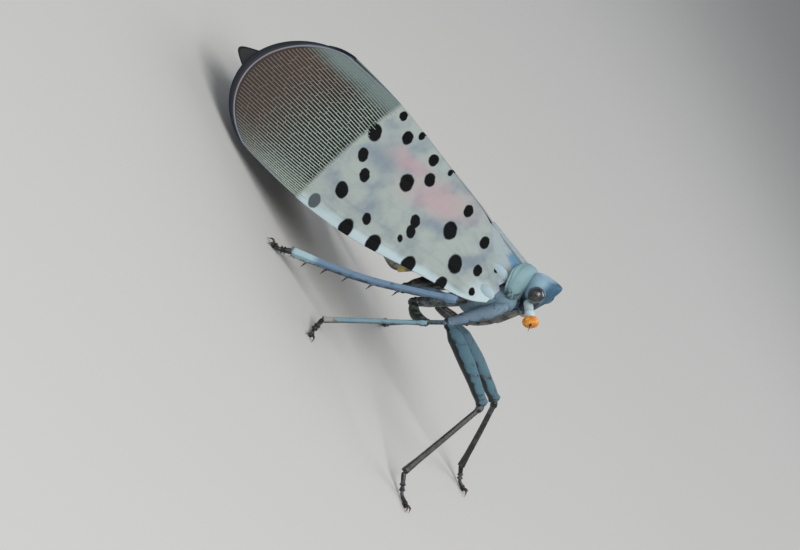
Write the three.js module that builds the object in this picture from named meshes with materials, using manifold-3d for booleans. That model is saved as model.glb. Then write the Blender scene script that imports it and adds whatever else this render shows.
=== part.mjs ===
// A spotted lanternfly at rest, life size, with its wings folded over its back.
// Millimetres, +Z up, +X towards the head, the insect's right side at -Y.

import * as THREE from 'three';
import { LoftGeometry } from 'three/addons/geometries/LoftGeometry.js';
import { mergeVertices } from 'three/addons/utils/BufferGeometryUtils.js';
import Module from 'manifold-3d';

const wasm = await Module();
wasm.setup();

// Driving dimensions

const DEG = Math.PI / 180;
const GAP = 0.3; // air between two pieces that touch in life
const PITCH = 26 * DEG; // how far head and thorax rise to the front
const RIDGE = { x: 8.87, z: 12.9, slope: 0.218 }; // the line where the wings meet
const TENT = { edge: 0.3, bulge: 4.7, depth: 10 }; // half width of the folded wings under it

const WING = {
  root: { x: 9.0, z: 10.3 },
  droop: 20 * DEG,
  thickness: 0.5,
  vein: 0.14,
  crossvein: 0.08,
  lines: 16,
  stations: 26,
  node: 15, // station where the net of small veins begins
  apex: { a: 17.1, b: -0.4, long: 4.8, wide: 4.15, from: -80 * DEG, to: 78 * DEG },
};

const HINDWING = {
  sink: 1.0, // in from the forewing's outer face
  thickness: 0.5,
  lines: 8,
  stations: 12,
  apex: { a: 16.9, b: -0.3, long: 5.5, wide: 3.3, from: -62 * DEG, to: 66 * DEG },
};

const HEAD = { x: 9.6, z: 12.2, sides: 14 };
const EYE = { forward: 0.44, side: 1.42, up: 0.16, radius: 0.64, bulge: 0.55 };
const ANTENNA = {
  scape: 0.3,
  pedicel: 0.48,
  bristle: 0.25,
  right: { side: -1, bulb: [1.36, -2.2, -1.44], bristle: [1.75, -3.3, -1.75] },
  left: { side: 1, bulb: [-0.25, 2.45, -1.85], bristle: [-0.2, 3.6, -2.3] },
};
const MESONOTUM = { back: 4.8, front: 7.9, point: 4.3, flare: 0.38, sink: 0.12, thickness: 0.6 };
const ABDOMEN = { segments: 8, sides: 14, flatness: 0.95, tip: [-6.7, 3.45], sag: [-1.6, 4.5], front: [4.75, 8.05] };
const ABDOMEN_RADII = [[0, 0.3], [0.16, 1.0], [0.36, 1.55], [0.6, 1.78], [0.82, 1.66], [1, 1.1]];
const ABDOMEN_BELLY = [[0, 0], [0.5, 0], [0.68, 0.25], [0.85, 1.2], [1, 0.6]]; // how much deeper it hangs
const ROSTRUM_RADIUS = 0.28;
const CLAW = { radius: 0.19, length: 0.62, spread: 32 * DEG, start: 0.94, tipHeight: 0.12 };
const SPINE = { radius: 0.16, length: 0.42, slant: 0.7, along: [0.3, 0.45, 0.6, 0.74, 0.87] };
const CROWN = { length: 0.3, along: 0.97, turns: [0.3, 0.5, 0.7] };

// Each leg: joints as x, y, z from the body outwards, and the radius of each length.
const LEGS = {
  front_right: {
    joints: [[9.75, -1.25, 10.0], [8.95, -1.6, 6.55], [14.81, -3.5, 6.67], [16.35, -6.0, 0.92], [18.25, -6.3, 0]],
    radii: [0.48, 0.42, 0.26, 0.26],
  },
  front_left: {
    joints: [[9.75, 1.25, 10.0], [8.72, 1.5, 6.2], [14.33, 3.5, 5.7], [16.75, 6.6, 0.83], [18.1, 6.95, 0]],
    radii: [0.48, 0.42, 0.26, 0.26],
  },
  middle_right: {
    joints: [[8.0, -1.3, 8.0], [6.85, -2.5, 5.35], [8.75, -5.0, 6.25], [5.63, -6.5, 0.75], [6.35, -8.2, 0]],
    radii: [0.46, 0.34, 0.26, 0.26],
  },
  middle_left: {
    joints: [[8.0, 1.3, 8.0], [6.85, 2.5, 5.35], [8.85, 5.0, 6.1], [6.1, 6.5, 0.8], [5.85, 8.0, 0]],
    radii: [0.46, 0.34, 0.26, 0.26],
  },
  hind_right: {
    joints: [[6.2, -1.25, 7.3], [5.85, -2.85, 5.3], [8.4, -5.25, 8.68], [0.9, -6.3, 0.85], [0.1, -6.95, 0]],
    radii: [0.48, 0.32, 0.3, 0.27],
    sag: 0.5,
  },
  hind_left: {
    joints: [[6.2, 1.25, 7.3], [5.85, 2.85, 5.3], [6.6, 6.75, 7.5], [-2.3, 7.4, 0.85], [-3.7, 7.7, 0]],
    radii: [0.48, 0.32, 0.3, 0.27],
    sag: 0.5,
  },
};

// Colours of the living insect under studio light

const COLOURS = {
  forewing: [0xaeb9b6, 0.6],
  hindwing: [0xb4412f, 0.6],
  body: [0x5c7480, 0.7],
  abdomen: [0xc9a640, 0.55],
  eye: [0x2a2320, 0.25],
  antenna: [0xe08a24, 0.6],
  leg: [0x5d6f78, 0.6],
  foot: [0x241e1c, 0.5],
};

// Points and curves

const vec = (x, y, z) => new THREE.Vector3(x, y, z);
const mix = THREE.MathUtils.lerp;
const FORWARD = vec(Math.cos(PITCH), 0, Math.sin(PITCH));
const UP = vec(-Math.sin(PITCH), 0, Math.cos(PITCH));
const SIDE = vec(0, 1, 0);

// A point of the head's own frame: forward, to the left and up from its middle.
function headPoint(forward, side, up) {
  return vec(HEAD.x, 0, HEAD.z).addScaledVector(FORWARD, forward).addScaledVector(SIDE, side).addScaledVector(UP, up);
}

// A ring of points: the shape gives two offsets for each angle.
function ring(centre, first, second, shape, sides) {
  return Array.from({ length: sides }, (_, k) => {
    const [p, q] = shape((2 * Math.PI * k) / sides);
    return centre.clone().addScaledVector(first, p).addScaledVector(second, q);
  });
}

const ellipse = (wide, high) => (angle) => [wide * Math.cos(angle), high * Math.sin(angle)];

// Solids

// Closed triangles as a solid, with its faces turned outwards.
function solid(geometry) {
  const bare = new THREE.BufferGeometry().setAttribute('position', geometry.getAttribute('position'));
  if (geometry.index) bare.setIndex(geometry.index);
  const merged = mergeVertices(bare, 1e-4);
  const index = [];
  for (let i = 0; i < merged.index.count; i += 3) {
    const [a, b, c] = [0, 1, 2].map((k) => merged.index.getX(i + k));
    if (a !== b && b !== c && c !== a) index.push([a, b, c]);
  }
  const make = (triangles) =>
    new wasm.Manifold(
      new wasm.Mesh({
        numProp: 3,
        vertProperties: new Float32Array(merged.attributes.position.array),
        triVerts: new Uint32Array(triangles.flat()),
      }),
    );
  const made = make(index);
  return made.volume() > 0 ? made : make(index.map(([a, b, c]) => [a, c, b]));
}

const largest = (made) => made.decompose().reduce((a, b) => (b.volume() > a.volume() ? b : a));
const union = (pieces) => pieces.reduce((a, b) => a.add(b));
const without = (made, cutters) => largest(cutters.reduce((a, b) => a.subtract(b), made));
const loft = (rings) => solid(new LoftGeometry(rings, { capStart: true, capEnd: true }));

// A round length along a path, its radius given at shares of the way.
function limb(path, radius, profile, sides = 8) {
  const curve = path.length > 2 ? new THREE.CatmullRomCurve3(path) : new THREE.LineCurve3(path[0], path[1]);
  const rings = profile.map(([share, size]) => {
    const along = curve.getTangentAt(share);
    const first = vec(0, 0, 1).cross(along).normalize();
    const second = along.clone().cross(first);
    return ring(curve.getPointAt(share), first, second, ellipse(radius * size, radius * size), sides);
  });
  return loft(rings);
}

// An oval ball with half axes along forward, side and up of the head's frame.
function ball(centre, forward, side, up, detail = 12) {
  const shape = new THREE.SphereGeometry(1, detail, Math.round(detail * 0.7));
  const turn = new THREE.Matrix4().makeBasis(
    FORWARD.clone().multiplyScalar(forward),
    SIDE.clone().multiplyScalar(side),
    UP.clone().multiplyScalar(up),
  );
  return solid(shape.applyMatrix4(turn.setPosition(centre)));
}

// A thin plate: an outer face over a grid, an inner face below it, split alike, and a rim.
function plate(point, columns, rows, thickness, raise) {
  const outer = [];
  const inner = [];
  const step = 1e-3;
  for (let i = 0; i <= columns; i += 1) {
    for (let j = 0; j <= rows; j += 1) {
      const [s, t] = [i / columns, j / rows];
      const here = point(s, t);
      const along = point(s + step, t).sub(point(s - step, t));
      const down = point(s, t + step).sub(point(s, t - step));
      const normal = along.cross(down).normalize();
      outer.push(here.clone().addScaledVector(normal, raise(i, j)));
      inner.push(here.clone().addScaledVector(normal, -thickness));
    }
  }
  inner.forEach((p) => {
    if (point.keepsRight) p.y = Math.min(p.y, -GAP / 2);
  });
  const vertices = [...outer, ...inner];
  const below = outer.length;
  const at = (i, j) => i * (rows + 1) + j;
  const index = [];
  for (let i = 0; i < columns; i += 1) {
    for (let j = 0; j < rows; j += 1) {
      const [a, b, c, d] = [at(i, j), at(i + 1, j), at(i + 1, j + 1), at(i, j + 1)];
      index.push(a, b, c, a, c, d);
      index.push(a + below, c + below, b + below, a + below, d + below, c + below);
    }
  }
  const edge = (a, b) => index.push(a, a + below, b, b, a + below, b + below);
  for (let i = 0; i < columns; i += 1) {
    edge(at(i, 0), at(i + 1, 0));
    edge(at(i + 1, rows), at(i, rows));
  }
  for (let j = 0; j < rows; j += 1) {
    edge(at(columns, j), at(columns, j + 1));
    edge(at(0, j + 1), at(0, j));
  }
  const geometry = new THREE.BufferGeometry().setFromPoints(vertices);
  geometry.setIndex(index);
  return solid(geometry);
}

// Wings

const ridgeHeight = (x) => RIDGE.z + (x - RIDGE.x) * RIDGE.slope;

function tentHalf(depth) {
  const share = THREE.MathUtils.clamp(depth / TENT.depth, 0, 1);
  return TENT.edge + TENT.bulge * (1 - (1 - share) ** 2);
}

// A place on the right wing: a runs from the root to the tip, b down to the front margin.
function wingPoint(a, b, sunk = 0) {
  const x = WING.root.x - a * Math.cos(WING.droop) + b * Math.sin(WING.droop);
  const z = WING.root.z - a * Math.sin(WING.droop) - b * Math.cos(WING.droop);
  return vec(x, sunk - tentHalf(ridgeHeight(x) - z), z);
}

// A wing's outline is two margins from the root and an oval tip between them.
function wingPatch(upper, lower, apex, place) {
  const tip = (t) => {
    const angle = mix(apex.from, apex.to, t);
    return new THREE.Vector2(apex.a + apex.long * Math.cos(angle), apex.b + apex.wide * Math.sin(angle));
  };
  const margin = (points, t) => new THREE.SplineCurve([...points.map(([a, b]) => new THREE.Vector2(a, b)), tip(t)]);
  const [back, front] = [margin(upper, 0), margin(lower, 1)];
  return (s, t) => {
    const from = back.getPointAt(THREE.MathUtils.clamp(s, 0, 1));
    const to = front.getPointAt(THREE.MathUtils.clamp(s, 0, 1));
    const swell = tip(t).sub(tip(0).lerp(tip(1), t)).multiplyScalar(s * s);
    const q = from.lerp(to, t).add(swell);
    return place(q.x, q.y);
  };
}

const FOREWING_BACK = [[0.1, -0.4], [2.7, -2.1], [4.2, -2.95], [7.9, -3.55], [13.3, -4.36]];
const FOREWING_FRONT = [[0.1, 0.6], [0.9, 1.13], [2.07, 1.54], [4.5, 2.1], [9.1, 3.27], [13.5, 3.75]];
const HINDWING_BACK = [[4.9, -1.3], [7.0, -2.0], [11.0, -2.6], [15.0, -3.0]];
const HINDWING_FRONT = [[4.9, 0.4], [7.0, 1.6], [10.0, 2.4], [14.0, 2.9]];

function forewing() {
  const surface = wingPatch(FOREWING_BACK, FOREWING_FRONT, WING.apex, (a, b) => wingPoint(a, b));
  surface.keepsRight = true;
  return plate(surface, WING.stations, WING.lines, WING.thickness, (i, j) => {
    if (i === 0 || i === WING.stations || j === 0 || j === WING.lines) return 0;
    const netted = i >= WING.node;
    if (j % 4 === 0 || (netted && j % 2 === 0)) return WING.vein;
    return netted && (i - WING.node) % 3 === 0 ? WING.crossvein : 0;
  });
}

function hindwing() {
  const place = (a, b) => wingPoint(a, b, HINDWING.sink);
  const surface = wingPatch(HINDWING_BACK, HINDWING_FRONT, HINDWING.apex, place);
  surface.keepsRight = true;
  return plate(surface, HINDWING.stations, HINDWING.lines, HINDWING.thickness, () => 0);
}

// Body

// Head: level slices from the tip of the face up to the crown.
function head(grow = 0) {
  const slices = [
    { up: -1.75, forward: 0.02, long: 0.2, wide: 0.26 },
    { up: -1.3, forward: 0.1, long: 0.4, wide: 0.5 },
    { up: -0.8, forward: 0.16, long: 0.6, wide: 0.85 },
    { up: -0.2, forward: 0.22, long: 0.84, wide: 1.2 },
    { up: 0.35, forward: 0.28, long: 0.94, wide: 1.38 },
    { up: 0.75, forward: 0.36, long: 0.92, wide: 1.3 },
    { up: 1.0, forward: 0.46, long: 0.8, wide: 1.05 },
  ];
  return loft(
    slices.map(({ up, forward, long, wide }, k) => {
      const ends = k === 0 ? -grow : k === slices.length - 1 ? grow : 0;
      const shape = ellipse(long + grow, wide + grow);
      return ring(headPoint(forward, 0, up + ends), FORWARD, SIDE, shape, HEAD.sides);
    }),
  );
}

// A length of the trunk: slices across the body from back to front.
function trunk(slices, grow, sides, shape = ellipse) {
  return loft(
    slices.map(({ x, z, wide, high, keel }, k) => {
      const ends = k === 0 ? -grow : k === slices.length - 1 ? grow : 0;
      const centre = vec(x, 0, z).addScaledVector(FORWARD, ends);
      return ring(centre, SIDE, UP, shape(wide + grow, high + grow, keel), sides);
    }),
  );
}

const pronotum = (grow = 0) =>
  trunk(
    [
      { x: 7.65, z: 11.1, wide: 1.75, high: 1.08 },
      { x: 7.95, z: 11.25, wide: 1.96, high: 1.32 },
      { x: 8.4, z: 11.45, wide: 1.9, high: 1.42 },
      { x: 8.85, z: 11.62, wide: 1.55, high: 1.22 },
    ],
    grow,
    16,
  );

// Thorax under the wings: narrow above, where the folded wings close in, and round below, where
// its keel hangs deeper between the roots of the legs.
const gable = (wide, high, keel = 0) => (angle) => {
  const q = Math.sin(angle);
  const spread = q > 0 ? (1 - q) ** 0.72 : Math.sqrt(1 - q * q);
  return [Math.sign(Math.cos(angle)) * wide * spread, (high + (q < 0 ? keel : 0)) * q];
};

const thorax = (grow = 0) =>
  trunk(
    [
      { x: 4.6, z: 8.3, wide: 1.2, high: 1.3 },
      { x: 5.1, z: 8.55, wide: 1.6, high: 1.7 },
      { x: 6.4, z: 9.05, wide: 1.8, high: 1.8, keel: 0.25 },
      { x: 7.7, z: 9.65, wide: 1.7, high: 1.7, keel: 0.7 },
      { x: 8.5, z: 10.15, wide: 1.4, high: 1.4, keel: 0.55 },
      { x: 9.2, z: 10.6, wide: 1.05, high: 0.85 },
    ],
    grow,
    16,
    gable,
  );

// The shield between the wing roots lies on the same tent as the wings.
function mesonotum(grow = 0) {
  const { back, front, point, flare, sink, thickness } = MESONOTUM;
  const surface = (s, t) => {
    const x = mix(back, front, s);
    const across = Math.abs(2 * t - 1);
    const depth = across * (x - point) * flare;
    const half = tentHalf(depth) * Math.min(1, across * 3);
    return vec(x, Math.sign(t - 0.5) * half, ridgeHeight(x) - sink - depth);
  };
  return plate(surface, 6, 10, thickness + grow, () => 0);
}

// Abdomen: each segment is a short drum a little wider in front, so that the joints show as steps.
function abdomen() {
  const { segments, sides, flatness } = ABDOMEN;
  const [tip, middle, front] = [ABDOMEN.tip, ABDOMEN.sag, ABDOMEN.front].map(([x, z]) => vec(x, 0, z));
  const sag = new THREE.QuadraticBezierCurve3(tip, middle, front);
  const plump = new THREE.SplineCurve(ABDOMEN_RADII.map(([s, r]) => new THREE.Vector2(s, r)));
  const belly = new THREE.SplineCurve(ABDOMEN_BELLY.map(([s, depth]) => new THREE.Vector2(s, depth)));
  const slices = [];
  for (let k = 0; k < segments; k += 1) {
    for (const [share, step] of [[0.06, 1.04], [0.94, 0.96]]) {
      const s = (k + share) / segments;
      const lower = Math.max(0, belly.getPoint(s).y) / 2;
      const at = sag.getPoint(s).addScaledVector(UP, -lower);
      const size = plump.getPoint(s).y * step;
      slices.push({ x: at.x, z: at.z, wide: size * flatness, high: size + lower });
    }
  }
  return trunk(slices, 0, sides);
}

function rostrum() {
  const path = [vec(10.2, 0, 10.3), vec(10.15, 0, 8.8), vec(9.4, 0, 7.1), vec(7.8, 0, 6.1), vec(6.3, 0, 5.7)];
  const profile = [[0, 0.9], [0.3, 1], [0.6, 0.95], [0.9, 0.9], [1, 0.35]];
  return limb(path, ROSTRUM_RADIUS, profile);
}

function eye(side) {
  return ball(headPoint(EYE.forward, side * EYE.side, EYE.up), EYE.radius, EYE.bulge, EYE.radius * 1.05);
}

// Antenna: a short stalk under the eye, a fat warty bulb and a fine bristle.
function antenna({ side, bulb: place, bristle: end }) {
  const bulb = headPoint(...place);
  const stalk = limb([headPoint(0.25, side * 0.9, -0.85), bulb], ANTENNA.scape, [[0, 1], [0.6, 1], [0.8, 0.7], [1, 0.7]]);
  const bristle = limb(
    [bulb, headPoint(...end)],
    ANTENNA.bristle,
    [[0, 1], [0.5, 0.9], [0.9, 0.6], [1, 0.3]],
    6,
  );
  return union([stalk, ball(bulb, ANTENNA.pedicel, ANTENNA.pedicel * 0.95, ANTENNA.pedicel, 14), bristle]);
}

// Legs

const FEMUR = [[0, 0.45], [0.05, 0.8], [0.2, 1], [0.6, 0.95], [0.9, 0.85], [0.97, 0.8], [1, 0.45]];
const TIBIA = [[0, 0.6], [0.04, 1], [0.27, 0.97], [0.5, 0.95], [0.72, 0.97], [0.9, 1], [1, 0.8]];
const COXA = [[0, 0.9], [0.3, 1], [0.8, 0.85], [1, 0.5]];

// One foot: three joints in a shallow curve, two claws and a pad, cut flat where it stands.
function tarsus(ankle, toe, radius) {
  const along = toe.clone().sub(ankle).setZ(0).normalize();
  const low = (share, z) => ankle.clone().lerp(toe, share).setZ(z);
  const joints = [ankle, low(0.35, mix(ankle.z, radius, 0.55)), low(0.7, radius * 0.95), low(1, radius * 0.85)];
  const body = limb(joints, radius, [[0, 0.85], [0.2, 1], [0.26, 0.8], [0.42, 1], [0.5, 0.8], [0.9, 1], [1, 0.7]]);
  const claws = [-1, 1].map((side) => {
    const out = along.clone().applyAxisAngle(vec(0, 0, 1), side * CLAW.spread);
    const start = low(CLAW.start, radius * 0.9);
    const end = start.clone().addScaledVector(out, CLAW.length).setZ(CLAW.tipHeight);
    return limb([start, end], CLAW.radius, [[0, 1], [0.6, 0.8], [1, 0.35]], 6);
  });
  const floor = new THREE.BoxGeometry(60, 60, 4).translate(0, 0, -2);
  return largest(union([body, ...claws]).subtract(solid(floor)));
}

// Hind shins carry side spines and a crown of short ones at the ankle.
function spines(knee, ankle, radius, sag) {
  const along = ankle.clone().sub(knee).normalize();
  const outward = vec(0, 0, 1).cross(along).normalize();
  const upward = along.clone().cross(outward);
  const spine = (share, angle, length) => {
    const lean = outward.clone().multiplyScalar(Math.cos(angle)).addScaledVector(upward, Math.sin(angle));
    const root = knee.clone().lerp(ankle, share).sub(vec(0, 0, 4 * sag * share * (1 - share)));
    const tip = root.clone().addScaledVector(lean, radius + length).addScaledVector(along, length * SPINE.slant);
    return limb([root, tip], SPINE.radius, [[0, 1], [0.5, 0.8], [1, 0.2]], 5);
  };
  const row = SPINE.along.map((share) => spine(share, -Math.PI / 2, SPINE.length));
  const crown = CROWN.turns.map((turn) => spine(CROWN.along, -2 * Math.PI * turn, CROWN.length));
  return [...row, ...crown];
}

// A hind shin is a little bowed: its middle lies lower by its sag.
function legPieces(name, { joints, radii, sag = 0 }) {
  const [root, hip, knee, ankle, toe] = joints.map(([x, y, z]) => vec(x, y, z));
  const short = (from, to, by) => from.clone().addScaledVector(to.clone().sub(from).normalize(), by);
  const coxa = (grow = 0) => limb([root, hip], radii[0] + grow, COXA, 10);
  const femur = (grow = 0) => limb([short(hip, knee, -0.1 - grow), short(knee, hip, -grow)], radii[1] + grow, FEMUR);
  const middle = knee.clone().lerp(ankle, 0.5).sub(vec(0, 0, sag));
  const tibia = (grow = 0) =>
    limb([short(knee, ankle, -grow), middle, short(ankle, knee, -grow)], radii[2] + grow, TIBIA);
  const shin = name.startsWith('hind') ? union([tibia(), ...spines(knee, ankle, radii[2], sag)]) : tibia();
  return {
    coxa: without(coxa(), [femur(GAP)]),
    femur: femur(),
    tibia: without(shin, [femur(GAP)]),
    tarsus: without(tarsus(ankle, toe, radii[3]), [tibia(GAP)]),
  };
}

// Assembly: the head end first, then the wings, then leg by leg

const group = new THREE.Group();

function add(name, made, [colour, roughness]) {
  const { vertProperties, triVerts, numProp } = made.getMesh();
  const geometry = new THREE.BufferGeometry();
  const positions = new Float32Array((vertProperties.length / numProp) * 3);
  for (let i = 0; i < positions.length / 3; i += 1) {
    positions.set(vertProperties.subarray(i * numProp, i * numProp + 3), i * 3);
  }
  geometry.setAttribute('position', new THREE.BufferAttribute(positions, 3));
  geometry.setIndex(new THREE.BufferAttribute(new Uint32Array(triVerts), 1));
  geometry.computeVertexNormals();
  const mesh = new THREE.Mesh(geometry, new THREE.MeshStandardMaterial({ color: colour, roughness, metalness: 0 }));
  mesh.name = name;
  group.add(mesh);
}

const SIDES = { right: -1, left: 1 };
const mirrored = (made, side) => (side < 0 ? made : made.mirror([0, 1, 0]));

add('head', without(head(), [pronotum(GAP)]), COLOURS.body);
add('pronotum', pronotum(), COLOURS.body);
add('mesonotum', without(mesonotum(), [pronotum(GAP)]), COLOURS.body);
add('thorax', without(thorax(), [pronotum(GAP), mesonotum(GAP)]), COLOURS.body);
add('abdomen', without(abdomen(), [thorax(GAP)]), COLOURS.abdomen);
add('rostrum', without(rostrum(), [head(GAP)]), COLOURS.foot);

for (const [name, side] of Object.entries(SIDES)) {
  add(`eye_${name}`, without(eye(side), [head(GAP * 0.8)]), COLOURS.eye);
  add(`antenna_${name}`, without(antenna(ANTENNA[name]), [head(GAP * 0.8)]), COLOURS.antenna);
  add(`forewing_${name}`, mirrored(without(forewing(), [pronotum(GAP)]), side), COLOURS.forewing);
  add(`hindwing_${name}`, mirrored(hindwing(), side), COLOURS.hindwing);
}

for (const [name, leg] of Object.entries(LEGS)) {
  const pieces = legPieces(name, leg);
  add(`${name}_coxa`, without(pieces.coxa, [thorax(GAP), pronotum(GAP)]), COLOURS.leg);
  add(`${name}_femur`, pieces.femur, COLOURS.leg);
  add(`${name}_tibia`, pieces.tibia, COLOURS.leg);
  add(`${name}_tarsus`, pieces.tarsus, COLOURS.foot);
}

// The origin goes under the middle of the whole insect, on the floor.
const box = new THREE.Box3().setFromObject(group);
group.position.set(-(box.min.x + box.max.x) / 2, -(box.min.y + box.max.y) / 2, -box.min.z);

export default group;
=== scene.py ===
# %% [markdown]
# A spotted lanternfly at rest, finished in Blender
# The insect is a large planthopper about 25 mm long. Its pale, spotted forewings are folded like a
# roof, and it stands with head and chest raised. The solids of its parts come from the packed
# model, and this file gives each part its fine surface, its markings and its light.

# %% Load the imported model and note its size
import math

import bpy
import numpy as np
from mathutils import Matrix, Vector


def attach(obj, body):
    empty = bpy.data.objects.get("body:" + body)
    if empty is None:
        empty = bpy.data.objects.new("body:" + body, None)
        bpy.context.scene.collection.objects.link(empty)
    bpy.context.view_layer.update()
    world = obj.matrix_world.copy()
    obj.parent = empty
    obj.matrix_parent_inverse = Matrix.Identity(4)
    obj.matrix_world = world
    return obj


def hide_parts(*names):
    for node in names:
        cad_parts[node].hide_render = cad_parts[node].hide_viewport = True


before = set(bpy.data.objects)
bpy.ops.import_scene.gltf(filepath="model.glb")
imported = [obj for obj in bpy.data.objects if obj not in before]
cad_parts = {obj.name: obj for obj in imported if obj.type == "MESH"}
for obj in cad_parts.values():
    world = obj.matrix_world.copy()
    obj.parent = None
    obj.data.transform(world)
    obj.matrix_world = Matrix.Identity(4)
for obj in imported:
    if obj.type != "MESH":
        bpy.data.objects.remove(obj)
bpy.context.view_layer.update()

# %% [markdown]
# Every size below is in millimetres in the insect's own axes: X forward, Y to its left, Z up, with
# Y zero on its middle plane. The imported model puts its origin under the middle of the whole
# insect, legs included, so one constant offset carries a point from the first axes to the second.

# %% Points in the insect's own axes
MM = 0.001
OFFSET = Vector((-3.231, 0.109, 0.0))
PITCH = math.radians(26)  # how far head and chest are raised
FORWARD = Vector((math.cos(PITCH), 0, math.sin(PITCH)))
UPWARD = Vector((-math.sin(PITCH), 0, math.cos(PITCH)))
LEFTWARD = Vector((0, 1, 0))
HEAD_AXES = Matrix((FORWARD, LEFTWARD, UPWARD)).transposed()
HEAD_MIDDLE = Vector((9.6, 0, 12.2))
SIDES = {"right": -1, "left": 1}


def metres(point):
    """A point of the insect's own axes, in millimetres, as a place in the frame."""
    return (Vector(point) + OFFSET) * MM


def head_point(forward, side, up):
    return HEAD_MIDDLE + FORWARD * forward + LEFTWARD * side + UPWARD * up


print("head's middle in the frame:", tuple(round(v, 5) for v in metres(HEAD_MIDDLE)))

# %% [markdown]
# Many parts of an insect are tubes or curved sheets: legs, body rings, wings. One way to make them
# is to pull a plane about by hand. Here a flat grid is added, and each of its vertices is sent
# where a small formula says, which bends the same grid into a wing or rolls it into a leg. Rolled
# grids are then welded along the seam and filled at both ends in edit mode.

# %% Grids, and grids rolled into a tube
WELD = 1e-7  # metres within which two vertices become one


def deselect():
    bpy.ops.object.select_all(action="DESELECT")


def pick(piece):
    deselect()
    piece.select_set(True)
    bpy.context.view_layer.objects.active = piece


def grid(name, columns, rows, where):
    """A flat grid, each vertex sent to where(s, t), in millimetres."""
    deselect()
    bpy.ops.mesh.primitive_grid_add(x_subdivisions=columns, y_subdivisions=rows, size=1)
    piece = bpy.context.object
    piece.name = name
    for vertex in piece.data.vertices:
        vertex.co = metres(where(vertex.co.x + 0.5, vertex.co.y + 0.5))
    return piece


def rolled(name, columns, rows, where):
    """A grid rolled into a closed body: t runs once round it, and s from end to end."""
    piece = grid(name, columns, rows, where)
    bpy.ops.object.mode_set(mode="EDIT")
    bpy.ops.mesh.select_all(action="SELECT")
    bpy.ops.mesh.remove_doubles(threshold=WELD)
    bpy.ops.mesh.fill_holes(sides=0)
    bpy.ops.mesh.normals_make_consistent(inside=False)
    bpy.ops.object.mode_set(mode="OBJECT")
    return piece


print("seams are welded within", WELD / MM, "mm")

# %% [markdown]
# A modifier such as Solidify is set and then applied, so that the piece keeps only plain mesh.
# What is finished apart, such as the lengths of one leg, is joined into one piece.


# %% Modifiers and joins
def modified(piece, kind, **settings):
    """Adds a modifier, sets it and applies it."""
    pick(piece)
    modifier = piece.modifiers.new(kind.title(), kind)
    for name, value in settings.items():
        setattr(modifier, name, value)
    bpy.ops.object.modifier_apply(modifier=modifier.name)
    return piece


def joined(name, pieces):
    pick(pieces[0])
    for other in pieces[1:]:
        other.select_set(True)
    bpy.ops.object.join()
    pieces[0].name = name
    return pieces[0]


# %% [markdown]
# Eyes and small rounded plates start as spheres. The left half of the insect mirrors the right
# where both are alike, and a mirror copy has its normals turned back outwards.


# %% Balls and mirror copies
def ball(name, centre, half, segments=48):
    """A sphere stretched along the head's own three directions."""
    deselect()
    bpy.ops.mesh.primitive_uv_sphere_add(segments=segments, ring_count=segments // 2, radius=1)
    piece = bpy.context.object
    piece.name = name
    stretch = HEAD_AXES @ Matrix.Diagonal(half)
    piece.data.transform(Matrix.Translation(metres(centre)) @ (stretch * MM).to_4x4())
    return piece


def other_side(piece, name):
    """A mirror copy across the insect's middle plane, with a mesh of its own."""
    twin = piece.copy()
    twin.data = piece.data.copy()
    twin.name = name
    bpy.context.collection.objects.link(twin)
    across = Matrix.Translation((0, 2 * OFFSET.y * MM, 0)) @ Matrix.Scale(-1, 4, (0, 1, 0))
    twin.data.transform(across)
    twin.data.flip_normals()
    return twin


print("left is", SIDES["left"], "and right is", SIDES["right"], "along Y")

# %% [markdown]
# A finished piece has its material and smooth shading. It rides on the model's one body, and the
# imported solids it stands for are hidden.


# %% Finishing a piece
def faces_of(piece):
    return sum(len(face.vertices) - 2 for face in piece.data.polygons)


def finished(piece, material, slot, *nodes):
    """Gives a piece its material and smooth shading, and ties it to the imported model."""
    if material:
        piece.data.materials.clear()
        piece.data.materials.append(material)
    pick(piece)
    bpy.ops.object.shade_smooth()
    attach(piece, "root")
    if nodes:
        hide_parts(*nodes)
    print(piece.name, "triangles:", faces_of(piece))
    return piece


# %% [markdown]
# Legs, feelers and the beak swell and narrow along their length. A profile lists a few shares of
# the way with the thickness there, and the values between are eased, as a hand-drawn curve is. A
# table of cross sections, as for the head, is read with a smooth curve through its rows.


# %% Profiles and smooth curves
def eased(profile, share):
    """The profile's value at a share of the way, with soft steps between its entries."""
    for (low, start), (high, end) in zip(profile, profile[1:]):
        if share <= high:
            part = max(0.0, (share - low) / (high - low))
            part = part * part * (3 - 2 * part)
            return start + (end - start) * part
    return profile[-1][1]


def spline(points, share):
    """The smooth curve through points or rows of numbers, from 0 at the first to 1 at the last."""
    place = min(max(share, 0.0), 1.0) * (len(points) - 1)
    k = min(int(place), len(points) - 2)
    u = place - k
    before, start = Vector(points[max(k - 1, 0)]), Vector(points[k])
    end, after = Vector(points[k + 1]), Vector(points[min(k + 2, len(points) - 1)])
    slope_in, slope_out = (end - before) / 2, (after - start) / 2
    cube, square = u**3, u * u
    return (
        start * (2 * cube - 3 * square + 1)
        + slope_in * (cube - 2 * square + u)
        + end * (3 * square - 2 * cube)
        + slope_out * (cube - square)
    )


print("half way up an eased step from 0 to 1:", eased([(0, 0), (1, 1)], 0.5))

# %% [markdown]
# A leg is a path with a thickness. The path is walked at an even pace, so that a profile's shares
# are shares of its true length, and a ring of vertices is set square to it at each station.

# %% Limbs along a path
PATH_SAMPLES = 240


def evened(points):
    """The curve through the points walked at an even pace, by the share of its length."""
    walk = [spline(points, k / PATH_SAMPLES) for k in range(PATH_SAMPLES + 1)]
    steps = [0.0] + [(b - a).length for a, b in zip(walk, walk[1:])]
    lengths = np.cumsum(steps) / sum(steps)
    axes = np.array([list(point) for point in walk]).T

    def at(share):
        return Vector([float(np.interp(share, lengths, axis)) for axis in axes])

    return at


def thickness(profile, radius):
    """A profile for a piece of a given radius."""
    return [(share, size * radius) for share, size in profile]


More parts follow.
